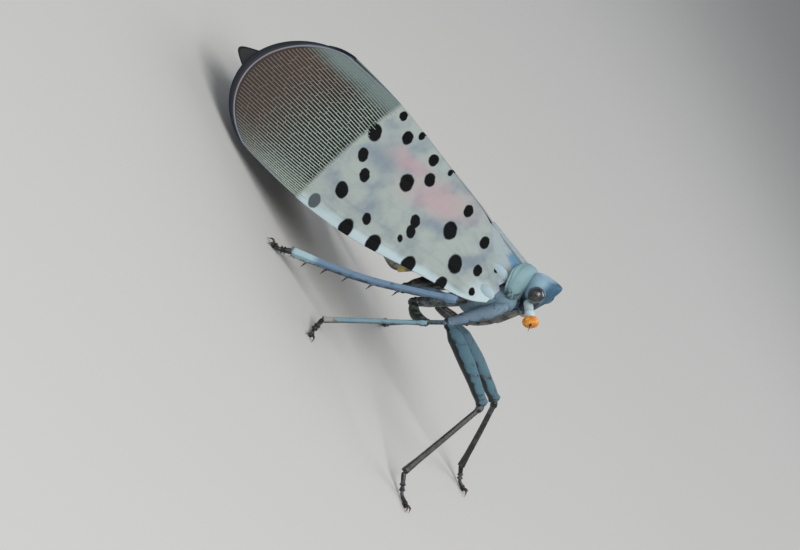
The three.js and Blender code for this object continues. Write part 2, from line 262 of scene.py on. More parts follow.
def limb(name, points, profile, sides, stations, section=None):
    """A closed length along a curve: profile gives its radius, section its shape round about."""
    path = evened(points)
    step = 0.01

    def where(s, t):
        along = (path(min(s + step, 1)) - path(max(s - step, 0))).normalized()
        first = Vector((0, 0, 1)).cross(along).normalized()
        second = along.cross(first)
        angle = 2 * math.pi * t
        radius = eased(profile, s) * (section(angle) if section else 1)
        return path(s) + (first * math.cos(angle) + second * math.sin(angle)) * radius

    return rolled(name, stations, sides, where)


print("samples along each path:", PATH_SAMPLES)

# %% [markdown]
# The camera
# In the photograph the insect slopes with its head down to the right. The model stands on a level
# floor and the camera is turned instead: it looks from the insect's right, 15 degrees down, and is
# rolled until the body slopes in the picture as it does in the photograph.

# %% Camera
AZIMUTH = math.radians(8)
ELEVATION = math.radians(15)
ROLL = math.radians(61.32)
CAMERA_PLACE = Vector((30.725, -185.927, 55.033))
FOCAL_PIXELS = 3040  # gives 16 pixels to the millimetre at the body's distance
PICTURE_WIDTH = 800
SENSOR_WIDTH = 36.0
NEAR_CLIP, FAR_CLIP = 0.01, 10

backward = Vector(
    (
        math.sin(AZIMUTH) * math.cos(ELEVATION),
        -math.cos(AZIMUTH) * math.cos(ELEVATION),
        math.sin(ELEVATION),
    )
)
level = Vector((math.cos(AZIMUTH), math.sin(AZIMUTH), 0))
above = backward.cross(level)
camera_right = level * math.cos(ROLL) + above * math.sin(ROLL)
camera_up = above * math.cos(ROLL) - level * math.sin(ROLL)

bpy.ops.object.camera_add()
camera = bpy.context.object
camera.name = "camera"
turn = Matrix((camera_right, camera_up, backward)).transposed()
camera.matrix_world = Matrix.Translation(metres(CAMERA_PLACE)) @ turn.to_4x4()
camera.data.sensor_width = SENSOR_WIDTH
camera.data.lens = FOCAL_PIXELS / PICTURE_WIDTH * SENSOR_WIDTH
camera.data.clip_start = NEAR_CLIP
camera.data.clip_end = FAR_CLIP
bpy.context.scene.camera = camera
print("camera at", tuple(round(v, 4) for v in camera.location), "lens", camera.data.lens)

# %% [markdown]
# Light and floor
# A museum model is lit softly from above with a weaker fill from the viewer's side, so that the
# wing's spots read clearly and the legs keep a thin highlight. The floor is a plain pale sheet.

# %% Lights and floor
KEY = {"place": (70, -120, 190), "size": 0.16, "watts": 0.46, "colour": (1.0, 0.98, 0.95)}
FILL = {"place": (-90, -190, 70), "size": 0.22, "watts": 0.12, "colour": (0.93, 0.97, 1.0)}
RIM = {"place": (60, 150, 140), "size": 0.12, "watts": 0.14, "colour": (1.0, 1.0, 1.0)}
LIT_POINT = Vector((2.0, 0.0, 6.0))
SKY = {"colour": (0.82, 0.86, 0.92, 1), "strength": 0.42}
FLOOR_SIZE = 3.0


def lamp(name, place, size, watts, colour):
    bpy.ops.object.light_add(type="AREA", location=metres(place))
    light = bpy.context.object
    light.name = name
    aim = metres(LIT_POINT) - light.location
    light.rotation_euler = aim.to_track_quat("-Z", "Y").to_euler()
    light.data.size = size
    light.data.energy = watts
    light.data.color = colour


lamp("key_light", **KEY)
lamp("fill_light", **FILL)
lamp("rim_light", **RIM)

world = bpy.data.worlds.new("studio")
world.use_nodes = True
sky = world.node_tree.nodes["Background"]
sky.inputs["Color"].default_value = SKY["colour"]
sky.inputs["Strength"].default_value = SKY["strength"]
bpy.context.scene.world = world
bpy.context.scene.view_settings.view_transform = "Standard"

deselect()
bpy.ops.mesh.primitive_plane_add(size=FLOOR_SIZE)
floor = bpy.context.object
floor.name = "floor"

# %% [markdown]
# Materials are node trees. These helpers add a node, set its inputs and join its sockets, so that
# each material below reads as a short recipe.


# %% Colours and sockets
def srgb(red, green, blue):
    """A colour named by its picture values, 0 to 255, as the linear light a shader wants."""
    shares = [value / 255 for value in (red, green, blue)]
    linear = [v / 12.92 if v <= 0.04045 else ((v + 0.055) / 1.055) ** 2.4 for v in shares]
    return (*linear, 1.0)


def feed(tree, socket, value):
    """Joins an output to a socket, or sets the socket to a plain value."""
    if isinstance(value, bpy.types.NodeSocket):
        tree.links.new(value, socket)
    else:
        socket.default_value = value


def add_node(tree, kind, settings=None, **inputs):
    node = tree.nodes.new(kind)
    for name, value in (settings or {}).items():
        setattr(node, name, value)
    for name, value in inputs.items():
        feed(tree, node.inputs[name.replace("_", " ")], value)
    return node


print("middle grey in linear light:", round(srgb(128, 128, 128)[0], 3))

# %% [markdown]
# Most of a recipe is arithmetic on masks: multiply, mix two colours by a mask, turn a value into a
# soft step, and add cloudy noise. Positions come from the object or from the piece's own UV map,
# which on these grids runs from 0 to 1 along and across the piece.


# %% Nodes for masks, mixes and places
def math_node(tree, operation, first, second=0.5, third=0.5):
    node = tree.nodes.new("ShaderNodeMath")
    node.operation = operation
    for socket, value in zip(node.inputs, (first, second, third)):
        feed(tree, socket, value)
    return node.outputs[0]


def blend(tree, share, first, second):
    """A mix of two colours."""
    node = tree.nodes.new("ShaderNodeMix")
    node.data_type = "RGBA"
    feed(tree, node.inputs[0], share)
    feed(tree, node.inputs[6], first)
    feed(tree, node.inputs[7], second)
    return node.outputs[2]


def ramp(tree, value, low, high, start=0.0, end=1.0):
    """A soft step of a value between two limits."""
    node = add_node(tree, "ShaderNodeMapRange", {"interpolation_type": "SMOOTHSTEP"})
    for name, setting in {
        "Value": value,
        "From Min": low,
        "From Max": high,
        "To Min": start,
        "To Max": end,
    }.items():
        feed(tree, node.inputs[name], setting)
    return node.outputs["Result"]


def noise(tree, vector, scale, detail=2.0, roughness=0.5):
    """Soft cloudy noise; scale counts its waves to the unit of the vector."""
    node = add_node(tree, "ShaderNodeTexNoise", Vector=vector, Scale=scale, Detail=detail)
    node.inputs["Roughness"].default_value = roughness
    return node.outputs["Fac"]


def object_place(tree):
    return add_node(tree, "ShaderNodeTexCoord").outputs["Object"]


def split_axes(tree, vector):
    """The first two numbers of a vector."""
    node = add_node(tree, "ShaderNodeSeparateXYZ", Vector=vector)
    return node.outputs["X"], node.outputs["Y"]


def own_map(tree):
    """The piece's own UV measures, along it and across or round it."""
    return split_axes(tree, add_node(tree, "ShaderNodeTexCoord").outputs["UV"])


def either(tree, masks):
    """The larger of several masks at each point."""
    total = masks[0]
    for mask in masks[1:]:
        total = math_node(tree, "MAXIMUM", total, mask)
    return total


print("node groups so far:", len(bpy.data.node_groups))

# %% [markdown]
# A material starts as one Principled shader. An effect that several materials share becomes a node
# group, and each material places it with its own values.


# %% New materials and node groups
def new_material(name):
    material = bpy.data.materials.new(name)
    material.use_nodes = True
    tree = material.node_tree
    return material, tree, tree.nodes["Principled BSDF"]


def placed(tree, group, **inputs):
    """Places a node group in a tree and feeds its named inputs."""
    node = tree.nodes.new("ShaderNodeGroup")
    node.node_tree = group
    for name, value in inputs.items():
        feed(tree, node.inputs[name.replace("_", " ")], value)
    return node


def new_group(name, inputs, outputs):
    """An empty node group with its sockets, and its input and output nodes."""
    tree = bpy.data.node_groups.new(name, "ShaderNodeTree")
    for label, kind in inputs.items():
        tree.interface.new_socket(label, in_out="INPUT", socket_type=f"NodeSocket{kind}")
    for label, kind in outputs.items():
        tree.interface.new_socket(label, in_out="OUTPUT", socket_type=f"NodeSocket{kind}")
    return tree, tree.nodes.new("NodeGroupInput").outputs, tree.nodes.new("NodeGroupOutput").inputs


print("materials so far:", len(bpy.data.materials))

# %% [markdown]
# The floor is matt and pale, with a faint mottle that keeps it from looking like a flat fill.

# %% Floor finish
floor_finish, tree, shader = new_material("pale studio floor")
mottle = noise(tree, object_place(tree), 9.0)
feed(tree, shader.inputs["Base Color"], blend(tree, mottle, srgb(186, 185, 182), srgb(176, 176, 174)))
shader.inputs["Roughness"].default_value = 0.85
floor.data.materials.append(floor_finish)
print("floor finish:", floor_finish.name)

# %% [markdown]
# Three effects are shared. The first is cuticle, the horny skin: tiny pits, which a smooth Voronoi
# pattern gives, and a cloudy change of tone. Both make one height for a Bump node.

# %% Node group: cuticle relief
cuticle_group, given, made = new_group(
    "Cuticle relief",
    {"Vector": "Vector", "Pits": "Float", "Waves": "Float"},
    {"Height": "Float", "Tone": "Float"},
)
pit = cuticle_group.nodes.new("ShaderNodeTexVoronoi")
pit.feature = "SMOOTH_F1"
feed(cuticle_group, pit.inputs["Vector"], given["Vector"])
feed(cuticle_group, pit.inputs["Scale"], given["Pits"])
wave = noise(cuticle_group, given["Vector"], given["Waves"], 4.0, 0.6)
height = math_node(cuticle_group, "MULTIPLY_ADD", pit.outputs["Distance"], 0.5, wave)
feed(cuticle_group, made["Height"], height)
feed(cuticle_group, made["Tone"], wave)


def add_relief(tree, shader, place, strength, pits=9000.0, waves=1500.0, depth=0.00004):
    """Bumps a material with the cuticle's relief and gives back its cloudy tone."""
    relief = placed(tree, cuticle_group, Vector=place, Pits=pits, Waves=waves)
    bump = add_node(tree, "ShaderNodeBump", Strength=strength, Distance=depth)
    feed(tree, bump.inputs["Height"], relief.outputs["Height"])
    feed(tree, shader.inputs["Normal"], bump.outputs[0])
    return relief.outputs["Tone"]


print("group made:", cuticle_group.name)

# %% [markdown]
# Bloom is the pale wax that dusts the skin in clouds and crumbs. Where noise is above a threshold
# there is wax, and a larger amount lowers the threshold. Wax is matt, and bare cuticle shines.

# %% Node group: waxy bloom
WAX_GRAIN = 1700.0  # clouds of wax to the metre
WAX_SOFTNESS = 0.18
BARE_ROUGHNESS, WAXED_ROUGHNESS = 0.36, 0.72
bloom_group, given, made = new_group(
    "Waxy bloom",
    {"Vector": "Vector", "Skin": "Color", "Wax": "Color", "Amount": "Float", "Grain": "Float"},
    {"Color": "Color", "Roughness": "Float"},
)
cloud = noise(bloom_group, given["Vector"], given["Grain"], 5.0, 0.65)
fine_grain = math_node(bloom_group, "MULTIPLY", given["Grain"], 6.0)
crumbs = noise(bloom_group, given["Vector"], fine_grain, 3.0)
cover = math_node(bloom_group, "MULTIPLY_ADD", crumbs, 0.35, cloud)
threshold = math_node(bloom_group, "SUBTRACT", 1.05, given["Amount"])
wax = ramp(bloom_group, cover, math_node(bloom_group, "SUBTRACT", threshold, WAX_SOFTNESS), threshold)
feed(bloom_group, made["Color"], blend(bloom_group, wax, given["Skin"], given["Wax"]))
feed(bloom_group, made["Roughness"], ramp(bloom_group, wax, 0.0, 1.0, BARE_ROUGHNESS, WAXED_ROUGHNESS))


def add_wax(tree, shader, place, skin, wax, amount, grain=WAX_GRAIN):
    """Colours a material as skin under wax."""
    waxy = placed(tree, bloom_group, Vector=place, Skin=skin, Wax=wax, Amount=amount, Grain=grain)
    feed(tree, shader.inputs["Base Color"], waxy.outputs["Color"])
    feed(tree, shader.inputs["Roughness"], waxy.outputs["Roughness"])


print("group made:", bloom_group.name)

# %% [markdown]
# A spot is an oval mark with a slightly soft edge. The pattern's place is moved to the oval's own
# centre, turn and size, and what then lies nearer than 1 is inside.

# %% Node group: oval spot
spot_group, given, made = new_group(
    "Oval spot",
    {"Vector": "Vector", "Centre": "Vector", "Turn": "Vector", "Half axes": "Vector", "Edge": "Float"},
    {"Mask": "Float"},
)
local = spot_group.nodes.new("ShaderNodeMapping")
local.vector_type = "TEXTURE"
feed(spot_group, local.inputs["Vector"], given["Vector"])
feed(spot_group, local.inputs["Location"], given["Centre"])
feed(spot_group, local.inputs["Rotation"], given["Turn"])
feed(spot_group, local.inputs["Scale"], given["Half axes"])
reach = add_node(spot_group, "ShaderNodeVectorMath", {"operation": "LENGTH"})
feed(spot_group, reach.inputs[0], local.outputs[0])
outside = math_node(spot_group, "ADD", 1.0, given["Edge"])
inside = math_node(spot_group, "SUBTRACT", 1.0, given["Edge"])
feed(spot_group, made["Mask"], ramp(spot_group, reach.outputs["Value"], inside, outside, 1.0, 0.0))
print("group made:", spot_group.name)

# %% [markdown]
# The forewing
# On the real insect it is a stiff, parchment-like sheet, plain with black spots towards the root
# and crossed by a fine net of pale veins towards the tip. Both wings lean together like a roof. Its
# surface could be sculpted, but veins and spots must follow it exactly, so the sheet is written
# as a formula: a runs from root to tip, b down to the front margin, and the roof bulges in Y.

# %% The wing's surface
RIDGE = {"x": 8.87, "z": 12.9, "slope": 0.218}
WING_ROOT = Vector((9.0, 0, 10.3))
DROOP = math.radians(20)
TENT = {"edge": 0.3, "bulge": 4.7, "depth": 10, "closing": 0.23, "fade": 0.6}
MIDDLE_GAP = 0.02  # the least distance of a wing from the middle plane
BACK_EDGE = [(0.1, -0.4), (2.7, -2.1), (4.2, -2.95), (7.9, -3.55), (13.3, -4.36)]
FRONT_EDGE = [(0.1, 0.6), (0.9, 1.13), (2.07, 1.54), (4.5, 2.1), (9.1, 3.27), (13.5, 3.75)]
APEX = {"centre": (17.1, -0.4), "half": (4.8, 4.15), "arc": (-80, 78)}

AXIS_A = Vector((-math.cos(DROOP), 0, -math.sin(DROOP)))
AXIS_B = Vector((math.sin(DROOP), 0, -math.cos(DROOP)))


def ridge_height(x):
    return RIDGE["z"] + (x - RIDGE["x"]) * RIDGE["slope"]


def tent_half(depth):
    """Half the width of the folded wings at a depth below the ridge."""
    share = min(max(depth / TENT["depth"], 0), 1)
    closed = TENT["closing"] * math.exp(-max(depth, 0) / TENT["fade"])
    return TENT["edge"] + TENT["bulge"] * (1 - (1 - share) ** 2) - closed


def wing_point(a, b, sunk=0.0):
    place = WING_ROOT + AXIS_A * a + AXIS_B * b
    place.y = min(sunk - tent_half(ridge_height(place.x) - place.z), -MIDDLE_GAP)
    return place


def wing_patch(back_edge, front_edge, apex):
    """The wing's outline as a patch: s runs from root to tip, t from back margin to front."""
    low, high = (math.radians(v) for v in apex["arc"])

    def tip(t):
        angle = low + (high - low) * t
        (a, b), (long, wide) = apex["centre"], apex["half"]
        return Vector((a + long * math.cos(angle), b + wide * math.sin(angle)))

    back = evened([*back_edge, tip(0)])
    front = evened([*front_edge, tip(1)])

    def at(s, t):
        swell = (tip(t) - tip(0).lerp(tip(1), t)) * s * s
        return back(s).lerp(front(s), t) + swell

    return at


forewing_patch = wing_patch(BACK_EDGE, FRONT_EDGE, APEX)
print("forewing tip:", tuple(round(v, 2) for v in forewing_patch(1, 0.5)))

# %% [markdown]
# The patterns read the same two wing measures. A dot product of a point with each of the wing's
# two directions gives them, so one group serves both wings and both pairs, with no image.

# %% Node group: wing coordinates
wing_group, given, made = new_group("Wing coordinates", {"Vector": "Vector"}, {"Place": "Vector"})
from_root = add_node(wing_group, "ShaderNodeVectorMath", {"operation": "SUBTRACT"})
feed(wing_group, from_root.inputs[0], given["Vector"])
from_root.inputs[1].default_value = metres(WING_ROOT)
measures = wing_group.nodes.new("ShaderNodeCombineXYZ")
for socket, axis in zip(measures.inputs, (AXIS_A, AXIS_B)):
    dot = add_node(wing_group, "ShaderNodeVectorMath", {"operation": "DOT_PRODUCT"})
    feed(wing_group, dot.inputs[0], from_root.outputs[0])
    dot.inputs[1].default_value = axis / MM
    feed(wing_group, socket, dot.outputs["Value"])
feed(wing_group, made["Place"], measures.outputs[0])


def wing_measures(tree):
    """The point's a and b as a vector, and each on its own."""
    place = placed(tree, wing_group, Vector=object_place(tree)).outputs["Place"]
    return place, *split_axes(tree, place)


print("group made:", wing_group.name)

# %% [markdown]
# The spots of the root two thirds are ovals about 1.1 mm by 0.7 mm that lean across the veins.
# Each entry is its place on the wing, a and b, and its size beside the usual one. Five square
# blocks stand on the front margin itself, the outermost of them faint.

# %% Where the spots lie
SPOT_HALF = (0.54, 0.36)
SPOT_LEAN = math.radians(-45)
SPOTS = {
    "behind the net": [
        (12.9, -2.25, 1.1), (12.3, -0.85, 0.85), (11.25, -0.05, 0.85), (11.55, 1.5, 1.05),
    ],
    "along the ridge": [(12.6, -4.0, 0.6), (11.3, -3.25, 0.85), (10.85, -3.85, 0.5), (9.15, -3.3, 0.75)],
    "upper middle": [(8.3, -2.35, 0.85), (7.85, -3.4, 0.4), (5.2, -2.5, 0.75), (3.0, -1.8, 0.75)],
    "middle": [(9.1, -1.35, 1.1), (6.9, -0.05, 0.8), (6.6, 0.55, 0.8), (5.0, -1.0, 1.1)],
    "lower middle": [(9.1, 1.75, 0.75), (6.75, 1.25, 0.45), (3.2, 0.2, 1.15), (1.95, -0.4, 0.7)],
    "wing root": [(1.2, 0.7, 0.5), (1.2, -1.1, 0.35)],
}
FAINT_BLOCK = {"a": 12.3, "b": 3.1, "half": (0.36, 0.48)}
BLOCKS = [(9.65, 3.0, 1.05), (7.7, 2.6, 1.05), (5.2, 2.1, 1.0), (2.9, 1.6, 0.8)]
BLOCK_HALF = (0.42, 0.6)
BLOCK_LEAN = math.radians(14)


def spot_mask(tree, vector, a, b, half, lean=SPOT_LEAN, edge=0.1):
    node = placed(tree, spot_group, Vector=vector)
    node.inputs["Centre"].default_value = (a, b, 0)
    node.inputs["Turn"].default_value = (0, 0, lean)
    node.inputs["Half axes"].default_value = (*half, 1)
    node.inputs["Edge"].default_value = edge
    return node.outputs["Mask"]


print("spots on each forewing:", sum(len(row) for row in SPOTS.values()) + len(BLOCKS) + 1)

# %% [markdown]
# Forewing colours
# Pale grey green, bluish in clouds, with two patches where the red hindwing glows through, a white
# front margin broken by black blocks, and dark cells in the net that turn brown to the tip. Edges
# of such marks are never ruler straight, so the place they are read at is moved a little by noise.

# %% The forewing's colours
FOREWING = {
    "pale": srgb(154, 163, 159),
    "cloud": srgb(122, 134, 143),
    "warm": srgb(172, 146, 152),
    "margin": srgb(176, 193, 197),
    "spot": srgb(5, 6, 8),
    "faint_spot": srgb(78, 88, 92),
    "cell": srgb(22, 28, 27),
    "far_cell": srgb(62, 54, 50),
    "ridge_cell": srgb(104, 120, 119),
    "front_cell": srgb(73, 85, 82),
    "rim": srgb(34, 40, 48),
}
NET_START = 13.25
SHADE_PATCH = (11.2, -1.6, (1.0, 0.8), 0.2)
WARM_PATCHES = [(9.8, -2.35, (1.3, 0.55), 0.1), (6.9, -1.9, (1.9, 0.8), 0.25)]
PATCH_EDGE = 0.95


def wandering(tree, place, waves, amount):
    """A place moved a little by noise."""
    cloudy = add_node(tree, "ShaderNodeTexNoise", Vector=place, Scale=waves, Detail=2.0)
    centred = add_node(tree, "ShaderNodeVectorMath", {"operation": "SUBTRACT"})
    feed(tree, centred.inputs[0], cloudy.outputs["Color"])
    centred.inputs[1].default_value = (0.5, 0.5, 0.5)
    moved = add_node(tree, "ShaderNodeVectorMath", {"operation": "MULTIPLY_ADD"})
    feed(tree, moved.inputs[0], centred.outputs[0])
    moved.inputs[1].default_value = (amount, amount, 0)
    feed(tree, moved.inputs[2], place)
    return moved.outputs[0]


print("colours of the forewing:", ", ".join(FOREWING))

# %% [markdown]
# First the ground: clouds, one shaded patch, the warm patches, the white margin, and the pale root with
# a painted highlight.

# %% Forewing ground
forewing_skin, tree, shader = new_material("spotted forewing")
place, a, b = wing_measures(tree)
to_tip, to_front = own_map(tree)
ragged = wandering(tree, place, 2.4, 0.13)
cloudy = wandering(tree, place, 0.8, 1.1)

clouds = ramp(tree, noise(tree, place, 0.55, 3.0), 0.42, 0.72)
colour = blend(tree, clouds, FOREWING["pale"], FOREWING["cloud"])
shade_patch = spot_mask(tree, cloudy, *SHADE_PATCH, PATCH_EDGE)
colour = blend(tree, math_node(tree, "MULTIPLY", shade_patch, 0.7), colour, FOREWING["cloud"])
warm = either(tree, [spot_mask(tree, cloudy, *patch, PATCH_EDGE) for patch in WARM_PATCHES])
colour = blend(tree, math_node(tree, "MULTIPLY", warm, 0.75), colour, FOREWING["warm"])
uneven_edge = math_node(tree, "MULTIPLY_ADD", noise(tree, place, 0.8, 3.0), 0.16, to_front)
white_edge = ramp(tree, uneven_edge, 0.92, 1.04)
# The root's front corner is pale, and its white is also a painted highlight on the costal base.
pale_root_with_highlight = math_node(tree, "MULTIPLY", ramp(tree, a, 2.1, 0.7), ramp(tree, b, -0.5, 0.3))
colour = blend(tree, either(tree, [white_edge, pale_root_with_highlight]), colour, FOREWING["margin"])
print("nodes for the ground:", len(tree.nodes))

# %% [markdown]
# Next the cells of the net, dark in the middle of the wing and paler towards both its edges.

# %% Forewing cells
cells = blend(tree, ramp(tree, a, NET_START + 1.5, 19.5), FOREWING["cell"], FOREWING["far_cell"])
uneven_b = math_node(tree, "MULTIPLY_ADD", noise(tree, place, 0.9), 0.8, b)
cells = blend(tree, ramp(tree, uneven_b, -2.6, -3.7), cells, FOREWING["ridge_cell"])
cells = blend(tree, ramp(tree, uneven_b, 2.4, 4.0), cells, FOREWING["front_cell"])
in_net = ramp(tree, split_axes(tree, ragged)[0], NET_START - 0.12, NET_START + 0.25)
colour = blend(tree, in_net, colour, cells)
print("the net starts", NET_START, "mm from the root")

# %% [markdown]
# Last the spots and blocks, the dark rim and the relief. The wing is leathery, so it shines little.

# %% Forewing spots, rim and relief
WING_RELIEF_DEPTH = 0.00006

spots = [
    spot_mask(tree, ragged, spot_a, spot_b, [v * size for v in SPOT_HALF])
    for row in SPOTS.values()
    for spot_a, spot_b, size in row
]
spots += [
    spot_mask(tree, ragged, spot_a, spot_b, [v * size for v in BLOCK_HALF], BLOCK_LEAN)
    for spot_a, spot_b, size in BLOCKS
]
faint = spot_mask(tree, ragged, *FAINT_BLOCK.values(), BLOCK_LEAN)
colour = blend(tree, faint, colour, FOREWING["faint_spot"])
colour = blend(tree, either(tree, spots), colour, FOREWING["spot"])
colour = blend(tree, ramp(tree, to_tip, 0.984, 0.992), colour, FOREWING["rim"])
feed(tree, shader.inputs["Base Color"], colour)
tone = add_relief(tree, shader, place, 0.25, 9.0, 2.2, WING_RELIEF_DEPTH)
feed(tree, shader.inputs["Roughness"], ramp(tree, tone, 0.2, 0.8, 0.42, 0.62))
shader.inputs["Specular IOR Level"].default_value = 0.12
print("nodes in the forewing material:", len(tree.nodes))

# %% [markdown]
# The net's veins are pale green grey near the spots and turn brown to the tip, most of all in the
# upper half of the wing.

# %% Material: veins of the net
VEIN = {
    "near": srgb(168, 180, 168),
    "far": srgb(124, 110, 102),
    "upper": srgb(138, 120, 106),
    "ridge": srgb(118, 131, 125),
    "cloud": srgb(96, 106, 102),
}

vein_skin, tree, shader = new_material("pale wing veins")
place, a, b = wing_measures(tree)
tone = blend(tree, ramp(tree, a, 15.0, 20.0), VEIN["near"], VEIN["far"])
brown_top = math_node(tree, "MULTIPLY", ramp(tree, b, -0.8, -2.8), ramp(tree, a, 14.0, 17.0))
tone = blend(tree, math_node(tree, "MULTIPLY", brown_top, 0.7), tone, VEIN["upper"])
tone = blend(tree, ramp(tree, b, -2.9, -3.9), tone, VEIN["ridge"])
tone = blend(tree, math_node(tree, "MULTIPLY", noise(tree, place, 1.6), 0.35), tone, VEIN["cloud"])
feed(tree, shader.inputs["Base Color"], tone)
shader.inputs["Roughness"].default_value = 0.5
print("material made:", vein_skin.name)

# %% [markdown]
# The sheet itself
# A fine grid takes the wing's form. A few long veins of the root part are raised in the sheet by
# moving vertices along their normals, which keeps them part of the membrane. Solidify then gives
# the sheet its thickness, inwards.

# %% Forewing sheet
SHEET = {"columns": 230, "rows": 120, "thick": 0.1, "sunk": 0.0}
LONG_VEINS = [0.17, 0.36, 0.53, 0.72, 0.86]  # shares of the way across the wing
LONG_VEIN = {"height": 0.05, "half_width": 0.11, "sway": 0.02, "first": 0.06, "last": 0.66}
PLEATS = {"height": 0.012, "waves": 34}


def wing_sheet(name, patch, columns, rows, thick, sunk, relief):
    sheet = grid(name, columns, rows, lambda s, t: wing_point(*patch(s, t), sunk))
    shares = [None] * len(sheet.data.vertices)
    for loop, uv in zip(sheet.data.loops, sheet.data.uv_layers[0].data):
        shares[loop.vertex_index] = (uv.uv.x, uv.uv.y)
    normals = [vertex.normal.copy() for vertex in sheet.data.vertices]
    facing = 1 if normals[len(normals) // 2].y < 0 else -1
    for vertex, normal, (s, t) in zip(sheet.data.vertices, normals, shares):
        vertex.co += normal * facing * relief(s, t) * MM
    if facing < 0:
        sheet.data.flip_normals()
    modified(sheet, "SOLIDIFY", thickness=thick * MM, offset=-1.0)
    return sheet


def forewing_relief(s, t):
    """Height of the long veins and of gentle pleats between them."""
    back, front = forewing_patch(s, 0), forewing_patch(s, 1)
    width = (front - back).length
    first, last = LONG_VEIN["first"], LONG_VEIN["last"]
    fade = min(1, s / first) * min(1, max(0, (last - s) / first))
    height = 0.0
    for k, vein in enumerate(LONG_VEINS):
        bend = vein + LONG_VEIN["sway"] * math.sin(9 * s + k)
        away = (t - bend) * width / LONG_VEIN["half_width"]
        height += LONG_VEIN["height"] * math.exp(-away * away)
    return height * fade + PLEATS["height"] * math.sin(PLEATS["waves"] * t) * math.sin(3 * s) * fade


forewing = wing_sheet("forewing_right_sheet", forewing_patch, relief=forewing_relief, **SHEET)
finished(forewing, forewing_skin, "forewing", "forewing_right")
finished(other_side(forewing, "forewing_left_sheet"), forewing_skin, "forewing", "forewing_left")

# %% [markdown]
# The net
# Beyond the spots some fifty fine veins run side by side to the tip, tied by short cross veins
# like courses of bricks. Drawn as a texture they would be flat, so they are curves with a round
# bevel, turned into mesh and laid half sunk in the sheet.

# %% Round threads along many paths
THREAD_ROUNDNESS = 1


def threads(name, paths, radius, roundness=THREAD_ROUNDNESS):
    """Each path is a list of points and, beside it, their thickness as a share of the radius."""
    curve = bpy.data.curves.new(name, "CURVE")
    curve.dimensions = "3D"
    curve.bevel_depth = radius * MM
    curve.bevel_resolution = roundness
    curve.use_fill_caps = True
    for points, shares in paths:
        line = curve.splines.new("POLY")
        line.points.add(len(points) - 1)
        for knot, point, share in zip(line.points, points, shares):
            knot.co = (*metres(point), 1)
            knot.radius = share
    piece = bpy.data.objects.new(name, curve)
    bpy.context.collection.objects.link(piece)
    pick(piece)
    bpy.ops.object.convert(target="MESH")
    return bpy.context.object


print("the sheet under the threads is", SHEET["thick"], "mm thick")

# %% [markdown]
# Each long vein starts where the net does, a little unevenly, and thins to the tip. The cross
# veins of one row start half a step behind those of the next, and their steps vary.

# %% The net of fine veins
NET = {"lines": 53, "radius": 0.04, "stations": 44, "brick": 0.8, "cross": 0.3, "end": 0.972}
NET_SEED = 7
shuffle = np.random.default_rng(NET_SEED)


def share_at(patch, t, a_wanted):
    """How far along the patch's line t the distance a from the root is reached."""
    shares = np.linspace(0.3, 1, 60)
    return float(np.interp(a_wanted, [patch(s, t).x for s in shares], shares))


def on_wing(s, t):
    return wing_point(*forewing_patch(s, t))


def thinning(n):
    """A vein's thickness at its station n: it swells over the first few and thins to the tip."""
    return 0.35 + 0.65 * min(1, n / 4) * (1 - 0.6 * (n / NET["stations"]) ** 2)


net_paths = []
starts = {}
for k in range(1, NET["lines"]):
    t = k / NET["lines"]
    starts[k] = share_at(forewing_patch, t, NET_START - 0.25 * abs(shuffle.normal()))
    walk = np.linspace(starts[k], NET["end"], NET["stations"])
    net_paths.append(([on_wing(s, t) for s in walk], [thinning(n) for n in range(NET["stations"])]))
for k in range(1, NET["lines"] - 1):
    length = (forewing_patch(1, k / NET["lines"]) - forewing_patch(0, 0.5)).length
    brick = NET["brick"] / length
    s = max(starts[k], starts[k + 1]) + brick * (0.3 + 0.5 * (k % 2))
    while s < NET["end"] - brick * 0.4:
        low, high = k / NET["lines"], (k + 1) / NET["lines"]
        net_paths.append(([on_wing(s, low), on_wing(s, high)], [NET["cross"]] * 2))
        s += brick * shuffle.uniform(0.7, 1.35)
net = threads("forewing_right_net", net_paths, NET["radius"])
finished(net, vein_skin, "forewing")
finished(other_side(net, "forewing_left_net"), vein_skin, "forewing")

# %% [markdown]
# One thicker vein runs round the tip just inside the edge and ties the ends of the net together.
# It follows the back margin out, the tip across and the front margin back, with rounded corners.

# %% The vein round the rim
RIM_VEIN = {"radius": 0.06, "inset": 0.035, "tip": 0.981, "after": 0.5, "side": 30, "across": 70}
CORNER_CUT = {"along": 0.004, "across": 0.01}
inset, tip_share, side_count = RIM_VEIN["inset"], RIM_VEIN["tip"], RIM_VEIN["side"]
begin, end = (share_at(forewing_patch, t, NET_START + RIM_VEIN["after"]) for t in (inset, 1 - inset))
turn_at = tip_share - CORNER_CUT["along"]
edge = inset + CORNER_CUT["across"]
rim_path = [on_wing(s, inset) for s in np.linspace(begin, turn_at, side_count)]
rim_path += [on_wing(tip_share, t) for t in np.linspace(edge, 1 - edge, RIM_VEIN["across"])]
rim_path += [on_wing(s, 1 - inset) for s in np.linspace(turn_at, end, side_count)]
last = len(rim_path) - 1
rim_shares = [min(1, 0.2 + n / 12, 0.2 + (last - n) / 12) for n in range(last + 1)]
rim = threads("forewing_right_rim", [(rim_path, rim_shares)], RIM_VEIN["radius"])

rim_skin, tree, shader = new_material("grey rim vein")
clouded = noise(tree, wing_measures(tree)[0], 0.8, 3.0)
feed(tree, shader.inputs["Base Color"], blend(tree, clouded, srgb(96, 98, 110), srgb(132, 134, 146)))
shader.inputs["Roughness"].default_value = 0.5
finished(rim, rim_skin, "forewing")
finished(other_side(rim, "forewing_left_rim"), rim_skin, "forewing")

# %% [markdown]
# The hindwing
# At rest it lies hidden below the forewing and shows only its black corner past the tip. Seen
# from below it is red with black spots at the root, white across the middle and black beyond.

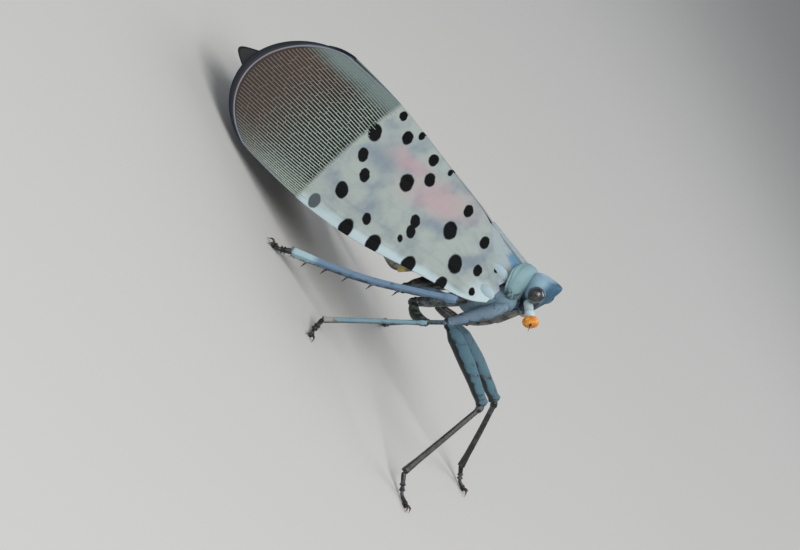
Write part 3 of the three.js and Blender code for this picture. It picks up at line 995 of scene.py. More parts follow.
# %% Hindwing colours
HINDWING_SHEET = {"columns": 90, "rows": 60, "thick": 0.1, "sunk": 1.0}
HINDWING_BACK = [(4.9, -1.3), (7.0, -2.0), (11.0, -2.6), (15.0, -3.0)]
HINDWING_FRONT = [(4.9, 0.4), (7.0, 1.6), (10.0, 2.4), (14.0, 2.9)]
HINDWING_APEX = {"centre": (16.9, -0.3), "half": (4.75, 3.1), "arc": (-62, 66)}
HINDWING_CORNER = {"reach": 1.5, "share": 0.47, "width": 0.2, "from": 0.8}
HINDWING_FAN = {"height": 0.045, "waves": 46}
HINDWING_SPOTS = [(6.4, -0.6, 0.7), (7.6, 0.6, 0.8), (8.3, -1.2, 0.9), (9.2, 0.1, 0.8), (10.0, 1.3, 0.7)]

hindwing_skin, tree, shader = new_material("red and black hindwing")
place, a, b = wing_measures(tree)
ragged = wandering(tree, place, 1.2, 0.5)
bent_a = split_axes(tree, ragged)[0]
colour = blend(tree, ramp(tree, bent_a, 10.8, 11.1), srgb(176, 42, 30), srgb(226, 222, 212))
colour = blend(tree, ramp(tree, bent_a, 12.8, 13.2), colour, srgb(20, 18, 20))
dark = either(tree, [spot_mask(tree, ragged, x, y, (r * 0.6, r * 0.45)) for x, y, r in HINDWING_SPOTS])
feed(tree, shader.inputs["Base Color"], blend(tree, dark, colour, srgb(18, 17, 19)))
add_relief(tree, shader, place, 0.3, 6.0, 1.5, WING_RELIEF_DEPTH)
shader.inputs["Roughness"].default_value = 0.5
print("material made:", hindwing_skin.name)

# %% [markdown]
# The sheet is made like the forewing's, deeper under the roof and pleated lengthwise like a fan.
# One blunt corner is drawn out past the forewing's tip.

# %% Hindwing sheet
rounded_patch = wing_patch(HINDWING_BACK, HINDWING_FRONT, HINDWING_APEX)


def hindwing_patch(s, t):
    """The rounded outline with its corner, which fades in over the last part of the wing."""
    away = (t - HINDWING_CORNER["share"]) / HINDWING_CORNER["width"]
    near_tip = max(0, (s - HINDWING_CORNER["from"]) / (1 - HINDWING_CORNER["from"]))
    reach = HINDWING_CORNER["reach"] * math.exp(-4 * away * away) * near_tip
    return rounded_patch(s, t) + Vector((reach, 0))


def hindwing_relief(s, t):
    rise = math.sin(math.pi * min(1, s * 1.1))
    return HINDWING_FAN["height"] * math.sin(HINDWING_FAN["waves"] * t) * rise


hindwing = wing_sheet(
    "hindwing_right_sheet", hindwing_patch, relief=hindwing_relief, **HINDWING_SHEET
)
finished(hindwing, hindwing_skin, "hindwing", "hindwing_right")
finished(other_side(hindwing, "hindwing_left_sheet"), hindwing_skin, "hindwing", "hindwing_left")

# %% [markdown]
# Skin of the head and chest
# An insect wears its skeleton outside: a horny cuticle in plates, here blue grey under a dusting of
# pale wax. The materials of head, collar and legs are one recipe with different colours, so one
# function makes them. Two masks come first: one for bands across the head, one for the painted shade on
# the underside.


# %% Where a place lies on head and limb
CLOUD_SIZE = 900.0  # waves of the dark clouds to the metre
HEEL_FROM, HEEL_TO = 0.82, 0.88  # shares of the way along a limb
LIMB_UNDERSIDE = (0.72, 0.3, 0.12)  # middle of the side round the limb where shade is painted, and its soft edge
TRUNK_UNDERSIDE = (0.5, 0.22, 0.46)
BROW_BAND = (0.4, 0.95)  # millimetres forward of the head's middle
MOUTH_BAND = (-0.2, -0.7)  # millimetres above the head's middle


def head_band(tree, place, axis, band):
    """A soft step along one of the head's axes, between two distances from its middle."""
    reach = add_node(tree, "ShaderNodeVectorMath", {"operation": "DOT_PRODUCT"})
    feed(tree, reach.inputs[0], place)
    reach.inputs[1].default_value = axis / MM
    middle = metres(HEAD_MIDDLE).dot(axis) / MM
    return ramp(tree, reach.outputs["Value"], *(middle + edge for edge in band))


def shaded_underside(tree, place, round_limb, underside):
    """1 on the side of a piece that its own map turns down, where shade is painted, with an uneven edge.
    """
    away = math_node(tree, "ABSOLUTE", math_node(tree, "SUBTRACT", round_limb, underside[0]))
    uneven = math_node(tree, "MULTIPLY_ADD", noise(tree, place, 1300.0), 0.08, away)
    return ramp(tree, uneven, *underside[1:])


print("the brow lies", BROW_BAND, "mm forward of the head's middle")

# %% [markdown]
# The recipe itself. dark colours cloudy patches and the painted shade on the underside, brow is a pair
# of colours for the front of the head, and heel a pair for the far end of a limb. The strength of the
# painted shade says how far it darkens the underside and thins its wax there, and underside says where
# the piece's own map has it.


# %% Material recipe: waxed cuticle
def waxed_cuticle(
    name, skin, wax, amount, dark=None, brow=None, heel=None, underside_shade=0.0,
    underside=LIMB_UNDERSIDE, relief=0.4,
):
    """A skin under wax, from colours given by their picture values."""
    material, tree, shader = new_material(name)
    place = object_place(tree)
    base, wax = srgb(*skin), srgb(*wax)
    if dark:
        dark = srgb(*dark)
        base = blend(tree, ramp(tree, noise(tree, place, CLOUD_SIZE, 3.0), 0.45, 0.62), base, dark)
    if brow:
        at_brow = head_band(tree, place, FORWARD, BROW_BAND)
        at_mouth = head_band(tree, place, UPWARD, MOUTH_BAND)
        base = blend(tree, at_mouth, blend(tree, at_brow, base, srgb(*brow[0])), dark)
        wax = blend(tree, at_brow, wax, srgb(*brow[1]))
        amount = math_node(tree, "MULTIPLY_ADD", at_mouth, -0.32, amount)
    if heel:
        at_heel = ramp(tree, own_map(tree)[0], HEEL_FROM, HEEL_TO)
        base = blend(tree, at_heel, base, srgb(*heel[0]))
        wax = blend(tree, at_heel, wax, srgb(*heel[1]))
    # Painted shade: the underside turns towards the dark colour and loses wax, as if it lay in shadow.
    if underside_shade:
        below = shaded_underside(tree, place, own_map(tree)[1], underside)
        base = blend(tree, math_node(tree, "MULTIPLY", below, 0.8), base, dark)
        amount = math_node(tree, "MULTIPLY_ADD", below, -underside_shade, amount)
    add_wax(tree, shader, place, base, wax, amount)
    add_relief(tree, shader, place, relief)
    return material


def waxed_skins(recipes):
    """One waxed material from each row of named values."""
    return {name: waxed_cuticle(name, **values) for name, values in recipes.items()}


print("one cloud of wax spans", round(1 / WAX_GRAIN / MM, 2), "mm")

# %% [markdown]
# The trunk has four such skins. Painted shade darkens the collar's lower sides and thins their wax,
# and the front of the head is a deeper blue.

# %% Skins of the trunk
TRUNK_RECIPES = {
    "head cuticle": {
        "skin": (66, 92, 104), "wax": (130, 160, 176), "amount": 0.5, "dark": (30, 38, 48),
        "brow": ((16, 52, 80), (50, 90, 116)), "relief": 0.8,
    },
    # The collar's lower sides get painted shade: darker, with thinner wax.
    "collar cuticle": {
        "skin": (66, 96, 102), "wax": (122, 152, 158), "amount": 0.52, "dark": (42, 64, 70),
        "underside_shade": 0.24, "underside": TRUNK_UNDERSIDE, "relief": 0.8,
    },
    "chest cuticle": {
        "skin": (46, 64, 76), "wax": (108, 134, 150), "amount": 0.42, "dark": (30, 38, 46),
        "relief": 0.8,
    },
    "wing root cuticle": {
        "skin": (112, 126, 132), "wax": (158, 178, 186), "amount": 0.5, "dark": (66, 76, 82),
    },
}
head_skin, collar_skin, chest_skin, tegula_skin = waxed_skins(TRUNK_RECIPES).values()
print("skins made:", ", ".join(TRUNK_RECIPES))

# %% [markdown]
# The head
# Seen from the side it is a short blunt wedge. The face runs down from a lipped brow, flat between
# four fine keels, and narrows to the plate that carries the beak. It is built as a stack of level
# outlines, eased from one to the next, and the keels are added to the outline where they run.

# %% Head
HEAD_LEVELS = [
    # height, middle forward of the head's own, half length, half width
    (-1.78, 0.02, 0.12, 0.16),
    (-1.7, 0.03, 0.24, 0.3),
    (-1.3, 0.1, 0.42, 0.52),
    (-0.8, 0.16, 0.6, 0.86),
    (-0.2, 0.2, 0.84, 1.2),
    (0.35, 0.24, 0.97, 1.36),
    (0.75, 0.32, 1.0, 1.3),
    (1.0, 0.42, 0.93, 1.08),
    (1.1, 0.46, 0.8, 0.86),
    (1.06, 0.44, 0.5, 0.5),
    (1.02, 0.42, 0.06, 0.06),
]
FACE_KEELS = [(-0.62, 0.07), (-0.2, 0.045), (0.2, 0.045), (0.62, 0.07)]  # angle, height
FACE_KEEL_WIDTH = 0.07
FACE_DISH = 0.05
KEELS_END, KEELS_FADE = 7, 2  # the level where the keels begin to fade, and over how many


def keeled_outline(angle, keels, sharpness):
    """Extra radius, in millimetres, of the keels that stand at given angles."""
    extra = 0.0
    for at, height in keels:
        away = math.atan2(math.sin(angle - at), math.cos(angle - at)) / sharpness
        extra += height * math.exp(-away * away)
    return extra


def head_surface(s, t):
    up, forward, long, wide = spline(HEAD_LEVELS, s)
    angle = 2 * math.pi * (t + 0.5)
    level = s * (len(HEAD_LEVELS) - 1)
    fade = min(1, long / 0.5, max(0, 1 - (level - KEELS_END) / KEELS_FADE))
    extra = keeled_outline(angle, FACE_KEELS, FACE_KEEL_WIDTH) * fade
    dish = FACE_DISH * max(0, math.cos(angle)) ** 6 * min(1, long)
    return head_point(
        forward + (long + extra - dish) * math.cos(angle),
        (wide + extra) * math.sin(angle),
        up,
    )


head_capsule = finished(rolled("head_capsule", 90, 120, head_surface), head_skin, "body")

# %% [markdown]
# The collar
# Behind the head the pronotum lies over the chest like a collar, a keel down its middle, its hind
# edge cut back in a wide bay and a furrow round it. It is a stack of cross sections with flattened
# sides, rolled from one grid.

# %% Collar
COLLAR = [
    # x, z, half width, height above and depth below the middle
    (7.98, 11.22, 1.5, 0.78, 0.9),
    (8.0, 11.24, 1.76, 1.0, 1.12),
    (8.06, 11.28, 1.86, 1.1, 1.26),
    (8.2, 11.37, 1.86, 1.1, 1.38),
    (8.38, 11.48, 1.82, 1.1, 1.46),
    (8.6, 11.6, 1.82, 1.18, 1.54),
    (8.95, 11.76, 1.66, 1.12, 1.4),
    (9.2, 11.88, 1.3, 0.86, 1.1),
    (9.32, 11.94, 0.8, 0.5, 0.7),
]
COLLAR_KEELS = [(math.pi / 2, 0.1), (math.pi / 2 - 0.42, 0.04), (math.pi / 2 + 0.42, 0.04)]
COLLAR_KEEL_WIDTH = 0.06
COLLAR_SQUARENESS = 0.8
COLLAR_BAY = 0.45  # how far the middle of the hind edge is cut back
COLLAR_SLANT = 0.4  # how far the sides of the hind edge slant forward below
FURROW = {"deep": 0.07, "at": 0.36, "sway": 0.08, "width": 0.05}


def squared(value, power):
    return math.copysign(abs(value) ** power, value)


def collar_surface(s, t):
    x, z, wide, above, below = spline(COLLAR, s)
    angle = 2 * math.pi * (t + 0.75)
    bay = COLLAR_BAY * max(0, math.sin(angle)) ** 3 * max(0, 1 - s * 2.2)
    keels = keeled_outline(angle, COLLAR_KEELS, COLLAR_KEEL_WIDTH)
    extra = keels * math.sin(math.pi * min(1, s * 1.15))
    off_furrow = s - FURROW["at"] - FURROW["sway"] * math.sin(2 * angle)
    furrow = FURROW["deep"] * math.exp(-((off_furrow / FURROW["width"]) ** 2))
    across = squared(math.cos(angle), COLLAR_SQUARENESS)
    rise = squared(math.sin(angle), COLLAR_SQUARENESS)
    high = above if rise > 0 else below
    slant = COLLAR_SLANT * (1 - math.sin(angle)) * (1 - s)
    middle = Vector((x, 0, z)) + FORWARD * (bay + slant)
    return middle + LEFTWARD * (wide + extra - furrow) * across + UPWARD * (high + extra - furrow) * rise


collar = finished(rolled("collar", 60, 110, collar_surface), collar_skin, "body")

# %% [markdown]
# The shield
# Behind the collar the three keeled shield of the mesonotum fills the corner between the wing
# roots and ends in a point. It is grey, with a blue stripe near the front on each side of the
# middle, so its finish reads the shield's own map.

# %% Shield finish
STRIPE = {"inner": (0.085, 0.055), "outer": (0.19, 0.24), "back": (0.72, 0.6)}

shield_skin, tree, shader = new_material("shield cuticle")
to_front, across = own_map(tree)
from_middle = math_node(tree, "ABSOLUTE", math_node(tree, "SUBTRACT", across, 0.5))
streak = noise(tree, object_place(tree), 1400.0, 3.0)
wavering = math_node(tree, "MULTIPLY_ADD", streak, 0.06, from_middle)
uneven_front = math_node(tree, "MULTIPLY_ADD", streak, 0.1, to_front)
off_stripe = either(
    tree,
    [
        ramp(tree, wavering, *STRIPE["outer"]),
        ramp(tree, wavering, *STRIPE["inner"]),
        ramp(tree, uneven_front, *STRIPE["back"]),
    ],
)
skin = blend(tree, off_stripe, srgb(44, 84, 112), srgb(104, 116, 120))
wax = blend(tree, off_stripe, srgb(88, 130, 158), srgb(148, 160, 164))
add_wax(tree, shader, object_place(tree), skin, wax, 0.46)
add_relief(tree, shader, object_place(tree), 0.7)
print("material made:", shield_skin.name)

# %% [markdown]
# The shield's surface follows the wings' roof a little below it, with its keels raised.

# %% Shield between the wing roots
SHIELD = {"back": 4.5, "front": 8.4, "point": 4.0, "flare": 0.6}
SHIELD_SUNK, SHIELD_INSET, SHIELD_THICK = 0.1, 0.12, 0.3
SHIELD_KEELS = [(0.0, 0.09), (0.3, 0.06), (-0.3, 0.06)]
SHIELD_KEEL_WIDTH = 0.05
SHIELD_CROWN = {"fall": 0.1, "width": 0.2}


def shield_surface(s, t):
    x = SHIELD["back"] + (SHIELD["front"] - SHIELD["back"]) * s
    across = 2 * t - 1
    depth = abs(across) * (x - SHIELD["point"]) * SHIELD["flare"]
    half = tent_half(depth) * min(1, abs(across) * 3) - SHIELD_INSET * abs(across)
    rise = 0.0
    for at, height in SHIELD_KEELS:
        away = (across - at) / SHIELD_KEEL_WIDTH
        rise += height * math.exp(-away * away)
    rise -= SHIELD_CROWN["fall"] * math.exp(-((across / SHIELD_CROWN["width"]) ** 2))
    return Vector((x, math.copysign(half, across), ridge_height(x) - SHIELD_SUNK - depth + rise))


shield = grid("shield", 50, 80, shield_surface)
if shield.data.polygons[0].normal.z < 0:
    shield.data.flip_normals()
modified(shield, "SOLIDIFY", thickness=SHIELD_THICK * MM, offset=-1.0)
finished(shield, shield_skin, "body", "mesonotum")

# %% [markdown]
# The chest
# Under the collar the chest carries the wings above and the six legs below. It is narrow at the
# top, where the wings close in, and deepens below into a keel between the leg roots. Seams run
# round it between its plates. Its ends reach into the collar and the first body ring.

# %% Chest
CHEST = [
    # x, z, half width, half height, and how much deeper the keel hangs
    (4.2, 8.1, 0.9, 0.95, 0),
    (4.6, 8.3, 1.25, 1.35, 0),
    (5.1, 8.55, 1.58, 1.68, 0),
    (6.4, 9.05, 1.78, 1.8, 0.25),
    (7.7, 9.65, 1.74, 1.72, 0.7),
    (8.5, 10.15, 1.52, 1.46, 0.6),
    (9.15, 10.58, 1.2, 1.05, 0.2),
    (9.5, 10.8, 0.7, 0.6, 0),
]
CHEST_SEAMS = [0.27, 0.47, 0.7]
CHEST_SEAM = {"deep": 0.07, "lean": 0.05, "width": 0.014}
CHEST_SWELL = {"high": 0.05, "at": 0.8, "width": 0.12}


def chest_surface(s, t):
    x, z, wide, high, deeper = spline(CHEST, s)
    angle = 2 * math.pi * (t + 0.75)
    rise = math.sin(angle)
    spread = max(0, 1 - rise) ** 0.72 if rise > 0 else math.sqrt(max(0, 1 - rise * rise))
    off_seams = [(s - at - CHEST_SEAM["lean"] * rise) / CHEST_SEAM["width"] for at in CHEST_SEAMS]
    seam = CHEST_SEAM["deep"] * sum(math.exp(-off * off) for off in off_seams)
    off_swell = (abs(math.cos(angle)) - CHEST_SWELL["at"]) / CHEST_SWELL["width"]
    swell = CHEST_SWELL["high"] * math.exp(-off_swell * off_swell) * (rise < 0)
    side = math.copysign(spread, math.cos(angle)) * (wide - seam + swell)
    high += deeper * (rise < 0) - seam
    return Vector((x, 0, z)) + LEFTWARD * side + UPWARD * high * rise


chest = finished(rolled("chest", 90, 90, chest_surface), chest_skin, "body")

# %% [markdown]
# Three smaller plates close the corners between chest, collar, legs and wings: the side plate over
# each front leg's root, the tegula, a pale blister over the hinge of the forewing, and the white
# shoulder lobe at the root of the wing's front margin. Each is a smooth oval bulge on both sides.

# %% Side plates and wing hinges
SMALL_PLATES = {
    # middle, half sizes along the head's axes, skin
    "side_plate": ((9.12, 0.92, 10.3), (1.0, 0.45, 0.85), chest_skin),
    "tegula": ((7.6, 1.55, 10.95), (0.8, 0.2, 0.42), tegula_skin),
    "shoulder": ((8.5, 2.55, 9.9), (0.62, 0.24, 0.42), tegula_skin),
}

small_plates = []
for side_name, side in SIDES.items():
    for plate_name, ((x, y, z), half, skin) in SMALL_PLATES.items():
        plate = ball(f"{plate_name}_{side_name}", Vector((x, side * y, z)), half, 40)
        modified(plate, "SUBSURF", levels=1)
        small_plates.append(finished(plate, skin, "body"))

# %% [markdown]
# The abdomen
# Eight rings overlap like roof tiles, so each is a little wider at its hind edge than the next one
# starts. The rings are black with a waxy bloom, edged in yellow, and the tip is red in females.

# %% Abdomen
RINGS = 8
TIP, SAG, FRONT = Vector((-6.7, 0, 3.45)), Vector((-1.6, 0, 4.5)), Vector((4.75, 0, 8.05))
PLUMP = [(0, 0.28), (0.16, 1.0), (0.36, 1.55), (0.6, 1.78), (0.82, 1.66), (1, 1.1)]
BELLY = [(0, 0), (0.5, 0), (0.68, 0.25), (0.85, 1.2), (1, 0.6)]  # how much deeper it hangs
RING_STEP = 0.09
RING_LEVEL = 0.35  # the share of a step that lies below the ring's mean size
ABDOMEN_FLATNESS = 0.95
SIDE_FOLD = {"deep": 0.06, "below": 0.25, "width": 0.08}


def ring_share(s):
    """0 at a ring's front edge, 1 at its hind edge; rings are counted from the tip."""
    return 1 - (s * RINGS) % 1


def abdomen_surface(s, t):
    lower = eased(BELLY, s) / 2
    middle = TIP * (1 - s) ** 2 + SAG * (2 * s * (1 - s)) + FRONT * s * s - UPWARD * lower
    angle = 2 * math.pi * t
    lap = RING_STEP * (ring_share(min(s, 0.9999)) ** 3 - RING_LEVEL) * min(1, s * 5)
    size = eased(PLUMP, s) + lap
    off_fold = (math.sin(angle) + SIDE_FOLD["below"]) / SIDE_FOLD["width"]
    side_fold = SIDE_FOLD["deep"] * math.exp(-off_fold * off_fold)
    return (
        middle
        + LEFTWARD * (size * ABDOMEN_FLATNESS - side_fold) * math.cos(angle)
        + UPWARD * (size + lower - side_fold) * math.sin(angle)
    )


print("rings of the abdomen:", RINGS)

# %% [markdown]
# The bands are drawn from the piece's own map: its first measure, times eight, counts the rings,
# and the part after the point says where in a ring the place is.

# %% Abdomen finish
ABDOMEN_GRAIN = 1500.0

abdomen_skin, tree, shader = new_material("banded abdomen")
from_tip = own_map(tree)[0]
along = math_node(tree, "FRACT", math_node(tree, "MULTIPLY", from_tip, float(RINGS)))
wobble = noise(tree, object_place(tree), 1800.0, 3.0)
edge = math_node(tree, "MULTIPLY_ADD", wobble, 0.25, along)
yellow = either(tree, [ramp(tree, edge, 0.42, 0.3), ramp(tree, edge, 1.06, 1.12)])
colour = blend(tree, yellow, srgb(34, 31, 30), srgb(196, 170, 62))
colour = blend(tree, ramp(tree, from_tip, 0.1, 0.04), colour, srgb(150, 40, 28))
add_wax(tree, shader, object_place(tree), colour, srgb(150, 152, 140), 0.28, ABDOMEN_GRAIN)
add_relief(tree, shader, object_place(tree), 0.7)

finished(rolled("abdomen_rings", 160, 64, abdomen_surface), abdomen_skin, "abdomen", "abdomen")

# %% [markdown]
# The eyes
# A compound eye is a dome of many hundred small lenses, dark and glossy, sunk in a raised ring.
# Its lenses are far too fine for mesh at this scale, so cells of a Voronoi pattern raise them in
# the shading only. A faint cloud of grey keeps the dark from being flat.

# %% Eye finish
EYE_COAT = {"weight": 0.6, "roughness": 0.12}

eye_skin, tree, shader = new_material("dark compound eye")
place = object_place(tree)
lenses = add_node(tree, "ShaderNodeTexVoronoi", Vector=place, Scale=16000.0)
streaks = add_node(tree, "ShaderNodeTexNoise", Scale=1100.0, Detail=2.0)
stretched = add_node(tree, "ShaderNodeMapping", Vector=place)
stretched.inputs["Scale"].default_value = (1.6, 1.0, 0.35)
feed(tree, streaks.inputs["Vector"], stretched.outputs[0])
brown = ramp(tree, streaks.outputs["Fac"], 0.4, 0.65)
feed(tree, shader.inputs["Base Color"], blend(tree, brown, srgb(16, 18, 20), srgb(58, 60, 60)))
bump = add_node(tree, "ShaderNodeBump", Strength=0.35, Distance=0.00002)
bump.invert = True
feed(tree, bump.inputs["Height"], lenses.outputs["Distance"])
feed(tree, shader.inputs["Normal"], bump.outputs[0])
shader.inputs["Roughness"].default_value = 0.22
shader.inputs["Coat Weight"].default_value = EYE_COAT["weight"]
shader.inputs["Coat Roughness"].default_value = EYE_COAT["roughness"]
print("material made:", eye_skin.name)

# %% [markdown]
# The dome is a sphere stretched along the head and pressed into it. The ring is a round thread
# along the eye's rim.

# %% Eyes
EYE = {"forward": 0.47, "side": 1.32, "up": 0.0, "half": (0.5, 0.56, 0.54)}
EYE_RING = {"side": 1.2, "half": (0.5, 0.53), "thick": 0.08, "points": 48}


def ring_round(name, centre, half, thick):
    """A raised ring in the plane of the eye's rim."""
    path = []
    for n in range(EYE_RING["points"] + 1):
        angle = 2 * math.pi * n / EYE_RING["points"]
        path.append(centre + FORWARD * half[0] * math.cos(angle) + UPWARD * half[1] * math.sin(angle))
    return threads(name, [(path, [1.0] * len(path))], thick, 3)


ring_skin = waxed_cuticle("eye ring", (34, 46, 54), (96, 118, 130), 0.3)
eye_rings = []
for name, side in SIDES.items():
    centre = head_point(EYE["forward"], side * EYE["side"], EYE["up"])
    finished(ball(f"eye_{name}_dome", centre, EYE["half"]), eye_skin, "eye", f"eye_{name}")
    rim_centre = head_point(EYE["forward"], side * EYE_RING["side"], EYE["up"])
    ring = ring_round(f"eye_{name}_ring", rim_centre, EYE_RING["half"], EYE_RING["thick"])
    eye_rings.append(finished(ring, ring_skin, "body"))

# %% [markdown]
# The feelers
# A planthopper's feeler is a short pale stalk below the eye, a fat orange bulb covered in sense
# warts, and a hair thin bristle. The bulb starts as an icosphere. Warts are raised where the bulb's
# surface lies near one of many evenly spread points, which a golden angle spiral gives.

# %% Bulb of a feeler
BULB_HALF = (0.5, 0.46, 0.38)
BULB_LEAN = math.radians(-37)
WARTS = 90
WART_HEIGHT, WART_WIDTH = 0.1, 0.12
GOLDEN_ANGLE = math.pi * (3 - math.sqrt(5))


def warty_bulb(name, centre):
    deselect()
    bpy.ops.mesh.primitive_ico_sphere_add(subdivisions=6, radius=1)
    piece = bpy.context.object
    piece.name = name
    n = np.arange(WARTS)
    z = 1 - 2 * (n + 0.5) / WARTS
    flat = np.sqrt(1 - z * z)
    spread = np.stack([flat * np.cos(n * GOLDEN_ANGLE), flat * np.sin(n * GOLDEN_ANGLE), z], 1)
    for vertex in piece.data.vertices:
        nearest = float((spread @ np.array(vertex.co)).max())
        away = math.acos(min(1, nearest)) / WART_WIDTH
        vertex.co *= 1 + WART_HEIGHT * math.exp(-away * away)
    stretch = HEAD_AXES @ Matrix.Rotation(BULB_LEAN, 3, "Y") @ Matrix.Diagonal(BULB_HALF)
    piece.data.transform(Matrix.Translation(metres(centre)) @ (stretch * MM).to_4x4())
    return piece


print("warts on each bulb:", WARTS)

# %% [markdown]
# The bulb is mottled orange, the stalk pale and tanned at its tip, and the bristle dark horn. Horn
# is needed again for the claws, so it has a helper.

# %% Feeler finishes
BULB_RELIEF = {"strength": 0.4, "pits": 14000.0, "waves": 2500.0, "depth": 0.00003}
STALK_TIP = ((150, 122, 92), (196, 176, 148))

bulb_skin, tree, shader = new_material("orange feeler bulb")
tone = ramp(tree, add_relief(tree, shader, object_place(tree), **BULB_RELIEF), 0.35, 0.65)
feed(tree, shader.inputs["Base Color"], blend(tree, tone, srgb(188, 104, 24), srgb(222, 152, 50)))
shader.inputs["Roughness"].default_value = 0.45


def horn(name, waves, deep, light, roughness):
    """Dark horn with faint clouds."""
    material, tree, shader = new_material(name)
    fade = ramp(tree, noise(tree, object_place(tree), waves), 0.3, 0.7)
    feed(tree, shader.inputs["Base Color"], blend(tree, fade, srgb(*deep), srgb(*light)))
    shader.inputs["Roughness"].default_value = roughness
    return material


stalk_skin = waxed_cuticle(
    "pale feeler stalk", (120, 138, 142), (170, 190, 194), 0.5, (84, 92, 90), heel=STALK_TIP
)
bristle_skin = horn("dark bristle", 3000.0, (40, 30, 24), (74, 56, 44), 0.4)
print("feeler finishes:", bulb_skin.name, stalk_skin.name, bristle_skin.name)

# %% [markdown]
# Stalk and bristle are limbs: the stalk runs straight from its root to the bulb, and the bristle
# bends a little on its way out.

# %% Feelers
ANTENNA = {
    "right": {"bulb": (1.36, -2.2, -1.44), "bristle": (1.75, -3.3, -1.75)},
    "left": {"bulb": (-0.25, 2.45, -1.85), "bristle": (-0.2, 3.6, -2.3)},
}
STALK_ROOT = {"forward": 0.25, "side": 0.8, "up": -0.8}
STALK_PROFILE = [(0, 0.3), (0.45, 0.28), (0.62, 0.34), (0.75, 0.2), (1, 0.2)]
BRISTLE_PROFILE = [(0, 0.1), (0.42, 0.09), (0.5, 0.04), (1, 0.012)]
BRISTLE_BEND = Vector((0, 0, 0.08))

for name, side in SIDES.items():
    bulb = head_point(*ANTENNA[name]["bulb"])
    end = head_point(*ANTENNA[name]["bristle"])
    root = head_point(STALK_ROOT["forward"], side * STALK_ROOT["side"], STALK_ROOT["up"])
    stalk = limb(f"feeler_{name}_stalk", [root, root.lerp(bulb, 0.5), bulb], STALK_PROFILE, 20, 24)
    knob = warty_bulb(f"feeler_{name}_bulb", bulb)
    tip = end + (end - bulb) * 0.15
    bend = bulb.lerp(tip, 0.5) + BRISTLE_BEND
    hair = limb(f"feeler_{name}_bristle", [bulb, bend, tip], BRISTLE_PROFILE, 8, 24)
    finished(stalk, stalk_skin, "antenna")
    finished(hair, bristle_skin, "antenna")
    finished(knob, bulb_skin, "antenna", f"antenna_{name}")

# %% [markdown]
# The beak
# Planthoppers drink sap through a slender beak that is folded back between the legs. It hangs from
# the face plate, has a groove along it and is made of three lengths with narrow joints.

# %% Beak
BEAK = [
    (10.35, 0, 10.75), (10.15, 0, 10.1), (10.0, 0, 8.9),
    (9.25, 0, 7.3), (7.7, 0, 6.3), (6.3, 0, 5.8),
]
BEAK_PROFILE = [
    (0, 0.2), (0.1, 0.3), (0.24, 0.26), (0.27, 0.2), (0.3, 0.24),
    (0.6, 0.2), (0.63, 0.16), (0.66, 0.19), (0.95, 0.13), (1, 0.04),
]
GROOVE = {"deep": 0.25, "width": 0.25}


def grooved(angle):
    away = math.atan2(math.sin(angle), math.cos(angle)) / GROOVE["width"]
    return 1 - GROOVE["deep"] * math.exp(-away * away)


beak_skin = waxed_cuticle("beak cuticle", (58, 50, 46), (120, 122, 118), 0.3, (28, 24, 23))
finished(limb("beak", BEAK, BEAK_PROFILE, 24, 80, grooved), beak_skin, "foot", "rostrum")

# %% [markdown]
# The legs
# Each leg has a root piece, a small ring, a long thigh, a thin shin with ridges and a foot of three
# joints with two claws and a pad. In the photograph the front and hind thighs and the two hinder
# pairs of shins are blue grey with wax, and the middle thighs, front shins and all feet are nearly
# black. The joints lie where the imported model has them.

# %% Where the joints of the legs lie
LEGS = {
    "front_right": [
        (9.75, -1.25, 10.0), (8.95, -1.6, 6.55), (14.81, -3.5, 6.67),
        (16.35, -6.0, 0.92), (18.25, -6.3, 0),
    ],
    "front_left": [
        (9.75, 1.25, 10.0), (8.72, 1.5, 6.2), (14.33, 3.5, 5.7), (16.75, 6.6, 0.83), (18.1, 6.95, 0),
    ],
    "middle_right": [
        (8.0, -1.3, 8.0), (6.85, -2.5, 5.35), (8.75, -5.0, 6.25), (5.63, -6.5, 0.75), (6.35, -8.2, 0),
    ],
    "middle_left": [
        (8.0, 1.3, 8.0), (6.85, 2.5, 5.35), (8.85, 5.0, 6.1), (6.1, 6.5, 0.8), (5.85, 8.0, 0),
    ],
    "hind_right": [
        (6.2, -1.25, 7.3), (5.85, -2.85, 5.3), (8.4, -5.25, 8.68), (0.9, -6.3, 0.85), (0.1, -6.95, 0),
    ],
    "hind_left": [
        (6.2, 1.25, 7.3), (5.85, 2.85, 5.3), (6.6, 6.75, 7.5), (-2.3, 7.4, 0.85), (-3.7, 7.7, 0),
    ],
}
LEG_RADII = {
    # root piece, thigh, shin, foot
    "front": (0.48, 0.5, 0.2, 0.18),
    "middle": (0.46, 0.34, 0.17, 0.18),
    "hind": (0.48, 0.33, 0.27, 0.22),
}
print("legs:", len(LEGS), "joints each:", len(LEGS["front_right"]))

# %% [markdown]
# The profiles close each length with the knobs and narrow necks that a real leg has. Shins have
# sharp ridges along them, thighs are deeper than wide, and both bow a little in their middle.

# %% Shapes of the legs
ROOT_PROFILE = [(0, 0.3), (0.05, 0.7), (0.25, 1.0), (0.7, 0.86), (0.9, 0.66), (0.96, 0.74), (1, 0.5)]
THIGH_PROFILE = [
    (0, 0.5), (0.03, 0.66), (0.06, 0.58), (0.2, 0.96), (0.45, 1.0),
    (0.8, 0.8), (0.93, 0.7), (0.975, 0.8), (1, 0.45),
]
SHIN_PROFILE = [
    (0, 0.7), (0.02, 1.05), (0.05, 1.15), (0.09, 0.82), (0.3, 0.86),
    (0.8, 0.95), (0.94, 1.1), (0.985, 1.2), (1, 0.7),
]
THIGH_BOW = {"front": 0.12, "middle": -0.3, "hind": 0.12}
SHIN_BOW = {"front": 0.06, "middle": 0.04, "hind": -0.5}
SHIN_RIDGES = {"count": 5, "depth": 0.22}


def ridged(angle):
    """The shin's cross section with its sharp ridges."""
    wave = abs(math.sin(angle * SHIN_RIDGES["count"] / 2))
    return 1 + SHIN_RIDGES["depth"] * (0.5 - wave)


